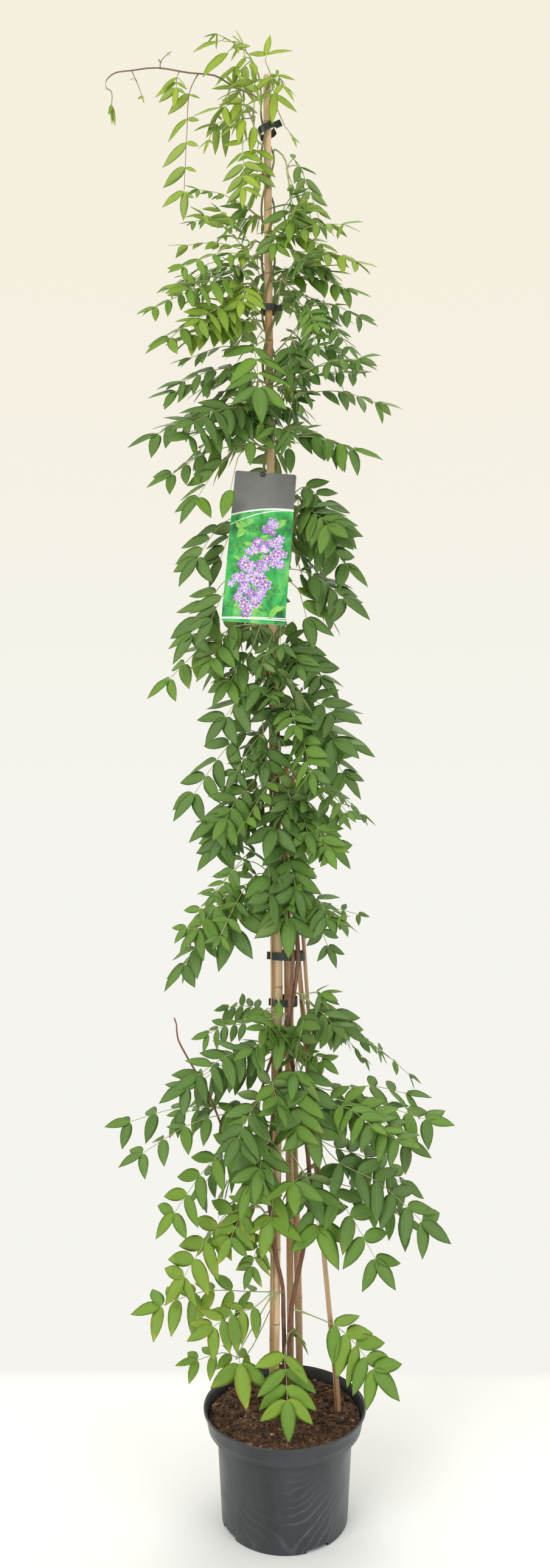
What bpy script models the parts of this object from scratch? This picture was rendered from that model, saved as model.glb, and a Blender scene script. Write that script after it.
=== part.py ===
"""Wisteria in a nursery pot, trained up five bamboo canes.

Metres, +Z up, the pot's axis on the Z axis and its foot at z = 0. The plant is looked at along +Y.
Places on the plant are written in centimetres, as it is seen from EYE: x and z in the plane of the
canes (y = 0), then how near they come toward EYE, which keeps their place in that view.
"""
import math
import random

import bmesh
import bpy
from mathutils import Vector
from mathutils.bvhtree import BVHTree

CM = 0.01
GAP = 0.0003
SEED = 20
EYE = Vector((-0.0156, -1.733, 1.063))
UP = Vector((0, 0, 1))
VIEW = Vector((0, -1, 0))

POT_SIDES = 28
POT_HEIGHT = 0.170
POT_RIM = 0.130
POT_FOOT = 0.100
POT_WALL = 0.002
FOOT_HEIGHT = 0.0055
FLOOR_TOP = FOOT_HEIGHT + POT_WALL
NOTCH_ANGLES = (29.5, 119.5, 209.5, 299.5)
NOTCH_WIDTH = 0.038
SOIL_TOP = 0.156
SOIL_MOUND = 0.003
SOIL_LUMP = 0.0022
SOIL_SIDES = 24
SOIL_HOLE = 1.26

CANE_SIDES = 6
CANE_NODE_STEP = 0.27
# Each cane: its radius and points x, y, z along its axis, in cm, from its foot in the soil.
CANES = {
    "cane_1": (0.0070, ((-1.65, -1.2, 1.2), (-1.25, -1.2, 35), (-0.95, -1.2, 88), (-2.3, 0, 170),
                        (-2.65, 0, 200), (-2.95, 0, 239.2))),
    "cane_2": (0.0062, ((-2.15, 0.7, 1.2), (-1.95, 0.7, 35), (-1.2, 0.75, 88), (-1.4, 1.0, 120))),
    "cane_3": (0.0062, ((1.05, 8.7, 1.2), (1.15, 8.4, 30), (0.35, 0.8, 90), (0.1, 1.3, 119))),
    "cane_4": (0.0062, ((2.65, 8.6, 1.2), (2.6, 8.7, 30), (0.7, 2.4, 90), (0.3, 3.0, 121))),
    "cane_5": (0.0062, ((9.0, 0.2, 1.2), (8.6, 0.2, 17), (6.5, 0.2, 39), (2.3, 0.1, 88), (1.6, -0.6, 104),
                        (1.3, -0.8, 118))),
}

STRAND_SIDES = 4
WOOD_TOP = 1.37
WIND_PITCH = 0.18
WIND_TOP = 2.35
WIND_STEPS = 7
# Old stems: radius at foot and top, then points x, z, near in cm.
STRAND_MAIN = (0.0040, 0.0026, (
    (0.5, 14.2, -0.6), (0.6, 20, -0.5), (0.9, 30, 0.6), (1.9, 36, 1.5), (3.4, 43, 2.0), (4.1, 49, 2.2),
    (3.8, 56, 2.4), (2.7, 64, 2.6), (1.2, 71, 2.8), (0.6, 76, 3.2), (1.7, 83, 3.2), (2.2, 89, 3.0),
    (1.4, 96, 3.2), (0.4, 102, 3.2), (-1.2, 108, 3.2), (-0.6, 114, 3.2), (-1.6, 120, 3.2),
    (-1.0, 126, 3.0)))
STRAND_SECOND = (0.0036, 0.0024, (
    (0.1, 14.2, -1.2), (-0.1, 22, -0.8), (-0.2, 31, 0.4), (-1.4, 40, 2.8), (-2.6, 50, 2.8),
    (-2.4, 58, 2.8), (-1.4, 66, 2.8), (0.2, 75, 3.6), (1.0, 82, 3.6), (1.4, 88, 3.4), (0.6, 95, 2.6),
    (-0.6, 101, 2.6), (-2.6, 107, 2.0), (-3.6, 113, -0.6), (-2.8, 119, -2.6), (-1.2, 125, -2.4)))
STRAND_LOOP = (0.0026, 0.0018, (
    (-2.6, 50.5, 2.8), (-4.6, 56, 3.2), (-5.8, 60.5, 3.2), (-3.8, 66.5, 3.2), (-2.2, 71.5, 3.4),
    (-0.4, 76, 3.4), (0.6, 79.0, 3.6)))
BARE_TWIG = (0.0022, 0.0011, (
    (-2.6, 51.5, 2.8), (-5.5, 54, 3.4), (-8.3, 56.6, 3.4), (-9.9, 59.8, 3.2), (-12.3, 65.8, 3.0),
    (-14.7, 69.8, 3.0), (-17.3, 74.4, 3.0), (-17.7, 77, 3.0), (-18.1, 78.2, 3.0)))

CARD_THICKNESS = 0.0008
CARD_CORNERS = ((-8.5, 169.9, 6), (1.85, 169.2, 6), (0.5, 142.9, 12), (-10.5, 143.8, 12))
PEG_PLACE = (-3.6, 168.9, 6.0)

PETIOLE_RADIUS = 0.0011
RIB_HALF_WIDTH = 0.0008
RIB_HALF_HEIGHT = 0.0010
LEAFLET_WIDTH = 0.36
LEAFLET_ROOT = 0.0016
LEAFLET_SAG = 0.10
LEAFLET_DROOP = 0.30
LEAFLET_CROWD = 0.86
LEAFLET_WIDEST = 0.42
END_SHRINK = 0.12
RIB_ARCH = 0.08
PATH_STEPS = 6
STEM_RADIUS = 0.0018
STEM_SIDES = 4
TRIES = 70
FIRST_MOVE = 0.25
NEXT_MOVE = 0.09
SHRINK = 0.12
SHRINK_AFTER = 20
CLEARANCE = 0.0005
ROOT_ZONE = 0.022
LONG_STALK = 0.09

# Leafy side shoots: name, colour, the stem's points x, z, near, and the leaves. A leaf is x, z where
# its blade begins, x, z of its tip, how near the tip comes, pairs of leaflets, a leaflet's length.
SHOOTS = (
    ("front_102", "dark", ((0, 104, 3.4), (0.3, 107, 5), (0.8, 113.5, 5)), (
        (0, 103.8, 0.8, 88.3, 10, 4, 5.8),
        (0, 114.8, -3.3, 104.6, 8, 3, 6.0),
        (2.5, 112.5, 5, 105, 6, 2, 5.4))),
    ("front_189", "lime", ((-3, 191, 1), (-4.0, 193, 4)), (
        (-5, 191, -3.7, 178.4, 12, 3, 7.0),)),
    ("low_front", "lime", ((0.6, 25.5, 0.6), (0.3, 27.5, 3)), (
        (0, 24.4, 0.8, 11.2, 11, 3, 5.2),
        (1.2, 28.5, 3.6, 26.3, -2, 1, 3.4))),
    ("low_left", "yellowing", ((-0.6, 34, 1.2), (-2.2, 34.5, 3.4)), (
        (-5.5, 33.5, -24.9, 31.5, 3, 4, 5.6),
        (-5, 32, -15.8, 27, 7, 3, 4.4),
        (-6, 24.4, -17.7, 23.3, 4, 2, 5.5),
        (-7.5, 24.8, -6, 16.4, 8, 1, 7.0))),
    ("low_right", "dark", ((1.2, 31.5, 1), (3, 31.3, 1.5)), (
        (8, 29.2, 18.5, 17.9, 2, 3, 6.0),)),
    ("bush_left_46", "yellowing", ((-2.2, 45, 3), (-4, 48, 4)), (
        (-8.5, 47, -19.4, 32.8, 3, 3, 5.0),
        (-6, 48.5, -10.8, 39, 6, 3, 4.6),
        (-3.8, 43, -6.5, 35, 3, 3, 3.4))),
    ("bush_front_50", "mid", ((3.9, 50, 2.8), (3.0, 53, 5)), (
        (3.2, 49.5, 8.7, 38.4, 6, 2, 6.6),
        (5.5, 52.7, 17.9, 35.1, 5, 3, 5.2),
        (1.2, 56, 1.7, 46.8, 10, 1, 6.5),
        (-1.5, 50.5, -3.6, 40, 6, 2, 6.5))),
    ("bush_right_55", "dark", ((3.6, 58, 2.6), (5.5, 59, 2.5)), (
        (9, 54.9, 26.9, 42.3, 4, 4, 5.4),
        (8, 52.3, 23.3, 43.7, -2, 3, 5.0))),
    ("bush_right_65", "mid", ((2.4, 66, 2.6), (4.5, 67.5, 3)), (
        (8, 66.5, 24.1, 65.8, -2, 3, 4.4),
        (7.5, 64.5, 27.8, 61.3, 3, 4, 5.4),
        (8, 63.5, 24, 56.2, 0, 3, 4.6))),
    ("bush_right_72", "mid", ((1.4, 70.5, 2.8), (2.5, 73, 5)), (
        (2.8, 69, 5.4, 54.3, 9, 3, 5.6),
        (4, 74.5, 9, 69.5, 5, 3, 4.4),
        (2, 72.5, 1, 65, 6, 2, 4.8))),
    ("bush_left_60", "dark", ((-2.4, 57, 2.8), (-3.6, 59, 4.5), (-4.4, 62.5, 5)), (
        (-8, 63, -29.4, 61, 0, 3, 4.8),
        (-8.5, 61.8, -27.1, 54.6, 4, 3, 5.2),
        (-4, 66.2, -9.8, 54.5, 10, 3, 6.0),
        (-8.5, 58.5, -21, 43.3, 5, 3, 5.2),
        (-3.2, 60, -4.8, 48.6, 8, 3, 5.6))),
    ("bush_left_70", "dark", ((-0.4, 71, 2.8), (-2, 73.5, 4)), (
        (-5, 72, -20.6, 65, 4, 3, 4.8),
        (-3.5, 75, -8.2, 71.5, 7, 2, 4.4),
        (-4.5, 70.5, -15.8, 64, -3, 3, 4.6))),
    ("bush_left_77", "mid", ((0.2, 77.5, 3.6), (-0.8, 79.5, 5)), (
        (-6.5, 77.3, -15.3, 74.8, 1, 3, 2.9),
        (0, 76.3, -1.5, 70.0, 8, 2, 5.0),
        (-2.5, 79.5, -6.9, 77.6, 3, 1, 4.2),
        (-1.3, 82.4, -0.7, 78.2, 6, 0, 4.0))),
    ("bush_right_79", "mid", ((1.8, 81, 3), (3.2, 82, 3.5)), (
        (5.5, 79.7, 13.4, 74.3, 3, 3, 4.6),
        (9.5, 76, 22.4, 67.7, -2, 3, 2.6),
        (4.9, 82.3, 9.1, 80.8, 1, 0, 4.2))),
    ("left_98", "dark", ((0.0, 99.5, 3.2), (-2, 101.5, 4.5)), (
        (-5.2, 101, -10.9, 86.3, 8, 3, 6.4),
        (-6, 105.5, -18.2, 90.6, 0, 3, 4.6),
        (-7.5, 97.5, -18.5, 84.3, -5, 3, 5.4))),
    ("right_98", "dark", ((1.4, 96.5, 3), (2.2, 98.5, 4)), (
        (2.8, 101, 8.7, 86.6, 4, 3, 5.4),
        (4.2, 95.2, 14.1, 94.9, 1, 2, 1.9),
        (3.5, 97.5, 12.2, 92.4, -3, 3, 4.4))),
    ("right_115", "mid", ((-0.5, 113.5, 3), (1, 116, 4)), (
        (1.8, 120, 11.2, 109.3, 6, 3, 5.6),
        (5, 117, 15.2, 109.9, -4, 3, 3.0),
        (3.5, 111.5, 10.9, 102.8, 1, 3, 4.4))),
    ("left_120", "dark", ((-0.8, 116, 3.2), (-2.6, 118, 4.5), (-3.4, 124.5, 4)), (
        (-4.5, 116, -15.8, 107.3, 5, 3, 5.6),
        (-6, 113, -14.3, 102.4, 0, 3, 5.0),
        (-2.8, 124, -3.5, 116, 5, 2, 4.5),
        (-6.5, 125.5, -18.3, 110.7, 3, 3, 5.2),
        (-3.8, 126.5, -9.8, 115.8, 0, 2, 5.2))),
    ("right_127", "dark", ((-1.0, 124, 3), (0.8, 127, 4)), (
        (2.2, 128.8, 15.1, 121.5, 4, 3, 6.0),
        (3.5, 126, 12.9, 114.6, 0, 3, 5.0),
        (0.5, 131.5, 3, 124, 7, 2, 4.6))),
    ("front_133", "dark", ((-1.4, 131.5, 2.6), (-1.8, 134.5, 4.5)), (
        (-1.5, 133.5, -1.8, 124.6, 8, 3, 5.2),
        (-0.5, 142.8, -0.8, 137.3, 7, 1, 4.4),
        (-6.2, 132, -13.4, 123.6, 5, 3, 5.4),
        (-3.2, 135.2, -6.4, 129, 6, 1, 5.6))),
    ("right_138", "dark", ((-1, 137, 1.4), (0.6, 139.5, 3)), (
        (1.5, 141, 9.1, 131, 5, 3, 5.2),)),
    ("left_141", "mid", ((-2.2, 141, 1), (-4, 143.5, 2.5)), (
        (-8, 143, -22.9, 131.2, -1, 3, 4.6),
        (-8.5, 143, -14.5, 134, 6, 3, 4.6),
        (-6, 138, -12, 129.8, 3, 3, 4.8))),
    ("left_149", "dark", ((-2.2, 149, 1), (-4.5, 151, 2)), (
        (-9.5, 151, -18.4, 137, 4, 3, 5.4),
        (-8.5, 150.5, -14.6, 140, 7, 3, 5.2),
        (-5.5, 143.8, -4.8, 138.8, 2, 1, 5.2))),
    ("right_155", "dark", ((-1.2, 150, 1), (0.8, 153, 1.5), (1.4, 160, 1.5), (1.6, 166, 1.5)), (
        (3.8, 167.3, 12.1, 156.5, 2, 3, 4.8),
        (3, 160.2, 14.1, 150.2, 0, 3, 5.2),
        (2.8, 152.5, 14.5, 144.7, 4, 3, 5.4),
        (2.2, 149.5, 5.2, 139.6, 7, 3, 5.4))),
    ("left_160", "dark", ((-2.8, 160, 1), (-5.5, 163, 1.5)), (
        (-9.8, 161, -17.9, 150.3, 4, 3, 5.2),
        (-8.5, 160, -12.6, 150, 0, 2, 4.8))),
    ("left_171", "mid", ((-2.9, 172, 1), (-5.5, 174.5, 3)), (
        (-8.5, 174, -23.3, 167, 0, 3, 4.8),
        (-8.5, 173, -17.8, 161, 5, 3, 5.2),
        (-7.5, 172.5, -10.2, 162, 11, 2, 5.4))),
    ("right_175", "dark", ((-1.6, 172.5, 1), (0.5, 175, 2)), (
        (2.5, 176, 16.8, 172, 3, 3, 5.2),
        (-2.5, 179.5, -0.4, 174.5, 4, 1, 5.0),
        (0.6, 174.5, 1.3, 169.6, 5, 0, 4.8))),
    ("left_178", "dark", ((-3, 178, 1), (-5, 180, 3)), (
        (-7, 181, -26.6, 174, 2, 4, 5.4),
        (-5.5, 178.5, -5.8, 171, 8, 2, 4.6))),
    ("left_184", "dark", ((-3, 184, 1), (-5, 186, 2)), (
        (-6.5, 187, -21.8, 184.1, -1, 3, 5.2),
        (-6, 185.2, -23.2, 182.5, 3, 3, 5.4),
        (-6, 180.5, -12, 175, 7, 2, 5.0))),
    ("right_182", "dark", ((-1.8, 182, 1), (0.5, 184, 2)), (
        (3.5, 182.6, 20.2, 180.8, 3, 3, 5.2),
        (-1, 182.3, 5, 177.5, 1, 2, 4.6))),
    ("right_192", "dark", ((-1.8, 189.5, 1), (0.2, 192, 1.5), (3.5, 196.5, 1.5)), (
        (5, 198.2, 8.6, 193.5, 0, 2, 4.6),
        (6.5, 197.4, 12.7, 189, 2, 3, 3.4),
        (3, 191.2, 16, 187.5, 2, 3, 5.0),
        (0.8, 190.8, 1.2, 184, 5, 2, 4.5))),
    ("right_202", "dark", ((-2, 201.5, 1), (0, 203, 1.5)), (
        (0, 205, 11.5, 204.4, -2, 3, 5.0),
        (2, 203.3, 15, 200.2, 2, 3, 5.2),
        (4.5, 199.3, 16.1, 195.2, 3, 3, 3.6),
        (-1, 198.8, 3.4, 198.3, 1, 0, 4.0))),
    ("left_194", "mid", ((-3.3, 193, 1), (-5, 195.5, 2)), (
        (-9.5, 198.3, -23.7, 190.3, 4, 3, 4.6),
        (-7, 195, -20.3, 191.8, 1, 3, 5.2),
        (-6, 190, -19.6, 188.5, 3, 3, 5.0))),
    ("left_200", "lime", ((-3.3, 200, 1), (-5, 202, 3)), (
        (-7.5, 202.3, -25.3, 197.2, 6, 5, 3.4),
        (-6, 199.3, -14.5, 197.3, 3, 3, 4.6),
        (-6.3, 203.5, -7.8, 196.5, 7, 2, 4.6))),
    ("left_204", "dark", ((-3.3, 206, 1), (-5, 207.5, 0.5)), (
        (-8, 205.5, -18.6, 202.4, -3, 3, 3.2),
        (-8, 203.8, -21, 201.2, 0, 3, 4.4))),
    ("left_209", "lime", ((-3.3, 209, 1), (-5, 210, 3)), (
        (-6.5, 208.2, -20.2, 209.3, 4, 3, 4.6),
        (-6.5, 205.8, -20, 204.5, 9, 3, 4.2))),
    ("left_215", "dark", ((-3.5, 213, 1), (-5, 214.5, 0.5)), (
        (-6, 215.3, -11.2, 216.4, 0, 1, 4.8),
        (-7, 213.6, -18, 213.1, 1, 3, 3.0))),
    ("right_209", "lime", ((-2, 208, 1), (0, 210.5, 2.5)), (
        (2, 208, 16.2, 205.5, 4, 3, 4.6),
        (2.5, 209.8, 9.4, 208.0, 1, 2, 4.0),
        (-1.5, 211.5, -2.2, 206.3, 5, 2, 3.8))),
    ("shoot_right", "mid", ((-1.6, 229, 1), (0.3, 224, 2), (1.0, 218, 2.5), (1.2, 213.5, 3)), (
        (2.5, 223, 7.3, 210.3, 1.5, 3, 3.6),
        (2.0, 215.2, 7.6, 215.4, 3, 0, 5.0),
        (0.8, 216, 1.2, 209.8, 5, 2, 4.8),
        (3, 213.8, 7, 212.8, 2, 1, 3.8))),
    ("left_231", "lime", ((-3.6, 225.5, 1), (-5, 228.5, 2.2), (-5.4, 233.5, 2.2)), (
        (-7.5, 234.3, -16, 232.5, 3, 2, 5.8),
        (-6.5, 233, -8, 227.6, 6, 2, 5.2),
        (-8, 231.5, -15.8, 229.8, -2, 2, 4.5),
        (-5, 232, -5.5, 225.8, 4, 2, 5.0),
        (-7, 227.5, -7, 215.8, 4, 3, 3.6),
        (-4.6, 226, -4.7, 217.5, -1, 2, 4.4))),
    ("crown", "lime", ((-2.4, 234.5, 1.2), (-1.9, 237, 1.5), (-2.2, 239.5, 1.5)), (
        (-3.2, 242, -2.6, 247.2, 1, 1, 5.0),
        (-0.8, 238.5, 1.9, 235, 1.5, 1, 3.4),
        (-1.5, 238.8, -7.3, 238.2, 3, 0, 5.6),
        (-1.8, 237.6, -1.8, 231.2, 4, 1, 5.4),
        (0, 230.6, 2.3, 226.6, 1, 2, 1.9))),
    ("shoot_top", "lime", ((-3.8, 234.5, 1), (-4.4, 239.5, 1.5), (-6.0, 243, 1.5), (-8, 245, 1.5),
                           (-11.8, 247, 1.5)), (
        (-10.6, 245.8, -15, 244.3, 2, 0, 4.4),
        (-9, 244.3, -13.3, 240.4, 3, 0, 5.6),
        (-6.6, 242.4, -11.2, 238.4, 0, 2, 3.6),
        (-5.8, 242.2, -5.0, 240.0, 3, 0, 2.7))),
    ("shoot_arch", "mid", ((-4.0, 233.6, 0.4), (-5.2, 235.8, 0), (-8.9, 237.5, 0), (-12, 239.4, 0),
                           (-16.5, 239.9, 0), (-22, 240.8, 0), (-26.5, 240.3, 0), (-29.2, 239.9, 0),
                           (-30.7, 238.6, 0), (-30.8, 237.2, 0), (-29.8, 236.4, 0),
                           (-29.8, 233.8, 0)), (
        (-16.4, 236, -17.4, 213.8, 1, 5, 4.6),
        (-18.5, 239, -18.9, 233.8, 1, 3, 4.2),
        (-9.7, 234.8, -13.9, 225.4, 1, 3, 3.4),
        (-21.4, 241.8, -19.5, 243.9, 0, 2, 1.0),
        (-25.8, 238.9, -24.1, 234.4, 0, 2, 1.2))),
)

MATERIALS = {
    "pot_plastic": ((0.035, 0.038, 0.043), 0.35),
    "peat": ((0.045, 0.028, 0.018), 0.95),
    "bamboo": ((0.58, 0.40, 0.22), 0.55),
    "bark": ((0.20, 0.10, 0.06), 0.8),
    "green_stem": ((0.16, 0.22, 0.07), 0.6),
    "clip_plastic": ((0.03, 0.035, 0.028), 0.4),
    "teal_tie": ((0.02, 0.33, 0.27), 0.5),
    "card": ((0.30, 0.33, 0.30), 0.35),
    "leaf_dark": ((0.055, 0.145, 0.035), 0.5),
    "leaf_mid": ((0.09, 0.20, 0.045), 0.5),
    "leaf_lime": ((0.24, 0.40, 0.06), 0.5),
    "leaf_yellowing": ((0.25, 0.33, 0.06), 0.5),
}


def material(name):
    """The Principled material of this name, made once."""
    found = bpy.data.materials.get(name)
    if found:
        return found
    colour, roughness = MATERIALS[name]
    found = bpy.data.materials.new(name)
    found.use_nodes = True
    shader = found.node_tree.nodes["Principled BSDF"]
    shader.inputs["Base Color"].default_value = (*colour, 1)
    shader.inputs["Roughness"].default_value = roughness
    shader.inputs["Metallic"].default_value = 0
    return found


def add_object(name, points, faces, material_name):
    """A new object from a closed shell, with its faces turned outward."""
    mesh = bpy.data.meshes.new(name)
    mesh.from_pydata([tuple(p) for p in points], [], faces)
    shell = bmesh.new()
    shell.from_mesh(mesh)
    bmesh.ops.recalc_face_normals(shell, faces=shell.faces)
    shell.to_mesh(mesh)
    shell.free()
    mesh.materials.append(material(material_name))
    found = bpy.data.objects.new(name, mesh)
    bpy.context.scene.collection.objects.link(found)
    return found


def place(x, z, near=0.0):
    """The point seen at x, z in the plane of the canes, brought toward EYE; all in cm."""
    spot = Vector((x, 0, z)) * CM
    return spot + (EYE - spot) * (near * CM / -EYE.y)


def curve_through(points, steps):
    """Points of the smooth curve through the given ones, with so many steps in each stretch."""
    found = []
    last = len(points) - 1
    for i in range(last):
        a = points[max(i - 1, 0)]
        b = points[i]
        c = points[i + 1]
        d = points[min(i + 2, last)]
        for step in range(steps):
            t = step / steps
            found.append(0.5 * (2 * b + (c - a) * t + (2 * a - 5 * b + 4 * c - d) * t ** 2
                                + (3 * b - a - 3 * c + d) * t ** 3))
    found.append(points[-1].copy())
    return found


def tube(path, radii, sides):
    """Points and faces of a closed tube of rings along a path."""
    points = []
    faces = []
    across = None
    for i, centre in enumerate(path):
        ahead = path[min(i + 1, len(path) - 1)] - path[max(i - 1, 0)]
        ahead.normalize()
        if across is None:
            across = ahead.orthogonal()
        across = (across - ahead * across.dot(ahead)).normalized()
        beside = ahead.cross(across)
        for side in range(sides):
            turn = 2 * math.pi * side / sides
            points.append(centre + radii[i] * (math.cos(turn) * across + math.sin(turn) * beside))
    for i in range(len(path) - 1):
        for side in range(sides):
            following = (side + 1) % sides
            a = i * sides
            b = a + sides
            faces.append((a + side, a + following, b + following, b + side))
    faces.append(tuple(reversed(range(sides))))
    faces.append(tuple(range(len(points) - sides, len(points))))
    return points, faces


def turned(profile, sides):
    """Points and faces of a closed profile, from axis to axis, turned round the Z axis."""
    points = [Vector((0, 0, profile[0][1]))]
    faces = []
    for radius, height in profile[1:-1]:
        for side in range(sides):
            turn = 2 * math.pi * side / sides
            points.append(Vector((radius * math.cos(turn), radius * math.sin(turn), height)))
    points.append(Vector((0, 0, profile[-1][1])))
    rings = len(profile) - 2
    end = len(points) - 1
    for side in range(sides):
        following = (side + 1) % sides
        faces.append((0, 1 + following, 1 + side))
        for ring in range(rings - 1):
            a = 1 + ring * sides
            b = a + sides
            faces.append((a + side, a + following, b + following, b + side))
        a = 1 + (rings - 1) * sides
        faces.append((end, a + side, a + following))
    return points, faces


def apply_boolean(target, tools, operation, solver):
    """Joins the tools to the target, or cuts them out of it, and removes them."""
    group = bpy.data.collections.new("tools")
    bpy.context.scene.collection.children.link(group)
    for tool in tools:
        bpy.context.scene.collection.objects.unlink(tool)
        group.objects.link(tool)
    change = target.modifiers.new("join", "BOOLEAN")
    change.operation = operation
    change.operand_type = "COLLECTION"
    change.collection = group
    change.solver = solver
    bpy.context.view_layer.update()
    graph = bpy.context.evaluated_depsgraph_get()
    joined = bpy.data.meshes.new_from_object(target.evaluated_get(graph))
    target.modifiers.clear()
    joined.name = target.name
    target.data = joined
    for tool in tools:
        bpy.data.objects.remove(tool)
    bpy.data.collections.remove(group)


def keep_one_body(target):
    """Drops every loose scrap but the largest body."""
    shell = bmesh.new()
    shell.from_mesh(target.data)
    left = set(shell.verts)
    bodies = []
    while left:
        body = set()
        front = [left.pop()]
        while front:
            vertex = front.pop()
            body.add(vertex)
            for edge in vertex.link_edges:
                other = edge.other_vert(vertex)
                if other in left:
                    left.remove(other)
                    front.append(other)
        bodies.append(body)
    bodies.sort(key=len)
    for body in bodies[:-1]:
        bmesh.ops.delete(shell, geom=list(body), context="VERTS")
    shell.to_mesh(target.data)
    shell.free()


def smooth(target, angle=35):
    """Shades a round piece smooth, with its corners sharp."""
    target.data.shade_smooth()
    target.data.set_sharp_from_angle(angle=math.radians(angle))


def tree_of(points, faces):
    return BVHTree.FromPolygons([tuple(p) for p in points], faces)


def tree_of_object(target):
    mesh = target.data
    return BVHTree.FromPolygons([tuple(v.co) for v in mesh.vertices],
                                [tuple(face.vertices) for face in mesh.polygons])


def add_pot():
    """The container: a foot ring with a disc inside it, a sloping wall and a rim band."""
    wall = POT_WALL
    body_top = 0.1085
    profile = (
        (0, 0), (0.025, 0), (0.027, FOOT_HEIGHT), (0.088, FOOT_HEIGHT), (0.090, 0), (POT_FOOT, 0),
        (body_top, 0.139), (0.1225, 0.1405), (0.1262, 0.163), (POT_RIM, 0.166), (POT_RIM, POT_HEIGHT),
        (POT_RIM - 1.3 * wall, POT_HEIGHT), (0.1262 - wall, 0.1645), (0.1225 - wall, 0.1425),
        (body_top - wall, 0.1405), (0.0985, FLOOR_TOP), (0, FLOOR_TOP))
    pot = add_object("pot", *turned(profile, POT_SIDES), "pot_plastic")
    cutters = []
    for angle in NOTCH_ANGLES:
        turn = math.radians(angle) - math.pi / 2
        out = Vector((math.cos(turn), math.sin(turn), 0))
        side = Vector((-out.y, out.x, 0))
        corners = []
        for reach, height in ((0.086, -0.002), (0.104, -0.002), (0.104, 0.0052), (0.086, 0.0052)):
            for across in (-NOTCH_WIDTH / 2, NOTCH_WIDTH / 2):
                corners.append(out * reach + side * across + UP * height)
        sides = ((0, 1, 3, 2), (2, 3, 5, 4), (4, 5, 7, 6), (6, 7, 1, 0), (0, 2, 4, 6), (1, 7, 5, 3))
        cutters.append(add_object("notch", corners, sides, "pot_plastic"))
    apply_boolean(pot, cutters, "DIFFERENCE", "EXACT")
    smooth(pot)
    return pot


def soil_height(radius, draw):
    """The lumpy surface: a shallow mound that sinks a little at the wall."""
    mound = SOIL_MOUND * math.cos(radius / POT_RIM * math.pi / 2)
    return SOIL_TOP + mound + draw.uniform(-SOIL_LUMP, SOIL_LUMP)


def add_soil(holes):
    """The peat inside the pot, with a plain hole for each stem that stands in it."""
    draw = random.Random(SEED)
    sides = SOIL_SIDES
    profile = [(0, FLOOR_TOP + GAP), (0.0970, FLOOR_TOP + GAP), (0.1050, 0.1409), (0.1188, 0.1437),
               (0.1206, 0.1535)]
    for radius in (0.105, 0.078, 0.048, 0.02):
        profile.append((radius, SOIL_TOP))
    profile.append((0, SOIL_TOP + SOIL_MOUND))
    points, faces = turned(profile, sides)
    first = 1 + 4 * sides
    for index in range(first, len(points) - 1):
        point = points[index]
        point.z = soil_height(math.hypot(point.x, point.y), draw)
    soil = add_object("soil", points, faces, "peat")
    cutters = []
    for path, radii in holes:
        cutters.append(add_object("hole", *tube(path, radii, 8), "peat"))
    apply_boolean(soil, cutters, "DIFFERENCE", "EXACT")
    keep_one_body(soil)
    smooth(soil)
    return soil


def cane_axis(name):
    """The smooth axis of a cane, as points a few centimetres apart."""
    radius, spots = CANES[name]
    points = [Vector(spot) * CM for spot in spots]
    return radius, curve_through(points, 8)


def point_at_height(path, height):
    """Where a rising path crosses this height."""
    for a, b in zip(path, path[1:]):
        if a.z <= height <= b.z:
            return a.lerp(b, (height - a.z) / (b.z - a.z))
    return None


def add_cane(name):
    """A bamboo cane with a slight swelling at each of its nodes."""
    radius, axis = cane_axis(name)
    foot = axis[0].z
    top = axis[-1].z
    heights = [foot]
    radii = [radius]
    height = foot + 0.5 * CANE_NODE_STEP
    while height < top - 0.04:
        for rise, swell in ((-0.006, 1.0), (0, 1.12), (0.006, 0.97)):
            heights.append(height + rise)
            radii.append(radius * swell)
        height += CANE_NODE_STEP
    heights.append(top)
    radii.append(radius * 0.95)
    path = [point_at_height(axis, h) or axis[-1].copy() for h in heights]
    cane = add_object(name, *tube(path, radii, CANE_SIDES), "bamboo")
    smooth(cane, 50)
    return cane


def clear_of_canes(path, radii, axes, margin=0.0016):
    """Pushes a path's points off the canes, each to the side that it is already on."""
    for index, point in enumerate(path):
        for cane_radius, axis in axes:
            centre = point_at_height(axis, point.z)
            if centre is None:
                continue
            reach = cane_radius + radii[index] + margin
            away = Vector((point.x - centre.x, point.y - centre.y, 0))
            if away.length < reach:
                if away.length < 0.0005:
                    away = VIEW.copy()
                point += away.normalized() * (reach - away.length)
    return path


def wind_point(height, phase, axis, radius):
    """A point of a stem that winds round the tall cane."""
    centre = point_at_height(axis, min(height, axis[-1].z - 0.001))
    turn = phase + 2 * math.pi * (height - WOOD_TOP) / WIND_PITCH
    return Vector((centre.x + radius * math.cos(turn), centre.y + radius * math.sin(turn), height))


def strand_path(spots, phase, axes):
    """The smooth path of a twining stem: its own points, then its turns round the tall cane."""
    points = [place(*spot) for spot in spots]
    free = len(points)
    cane_radius, axis = axes[0]
    reach = cane_radius + 0.0026 + 0.0016
    count = round((WIND_TOP - WOOD_TOP + 0.02) / WIND_PITCH * WIND_STEPS)
    for step in range(count + 1):
        height = WOOD_TOP - 0.02 + (WIND_TOP - WOOD_TOP + 0.02) * step / count
        points.append(wind_point(height, phase, axis, reach))
    lower = curve_through(points[:free + 2], 2)[:free * 2]
    return lower + points[free:]


def radii_along(path, start, end):
    """Radii that shrink evenly along a path."""
    last = len(path) - 1
    return [start + (end - start) * i / last for i in range(last + 1)]


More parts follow.
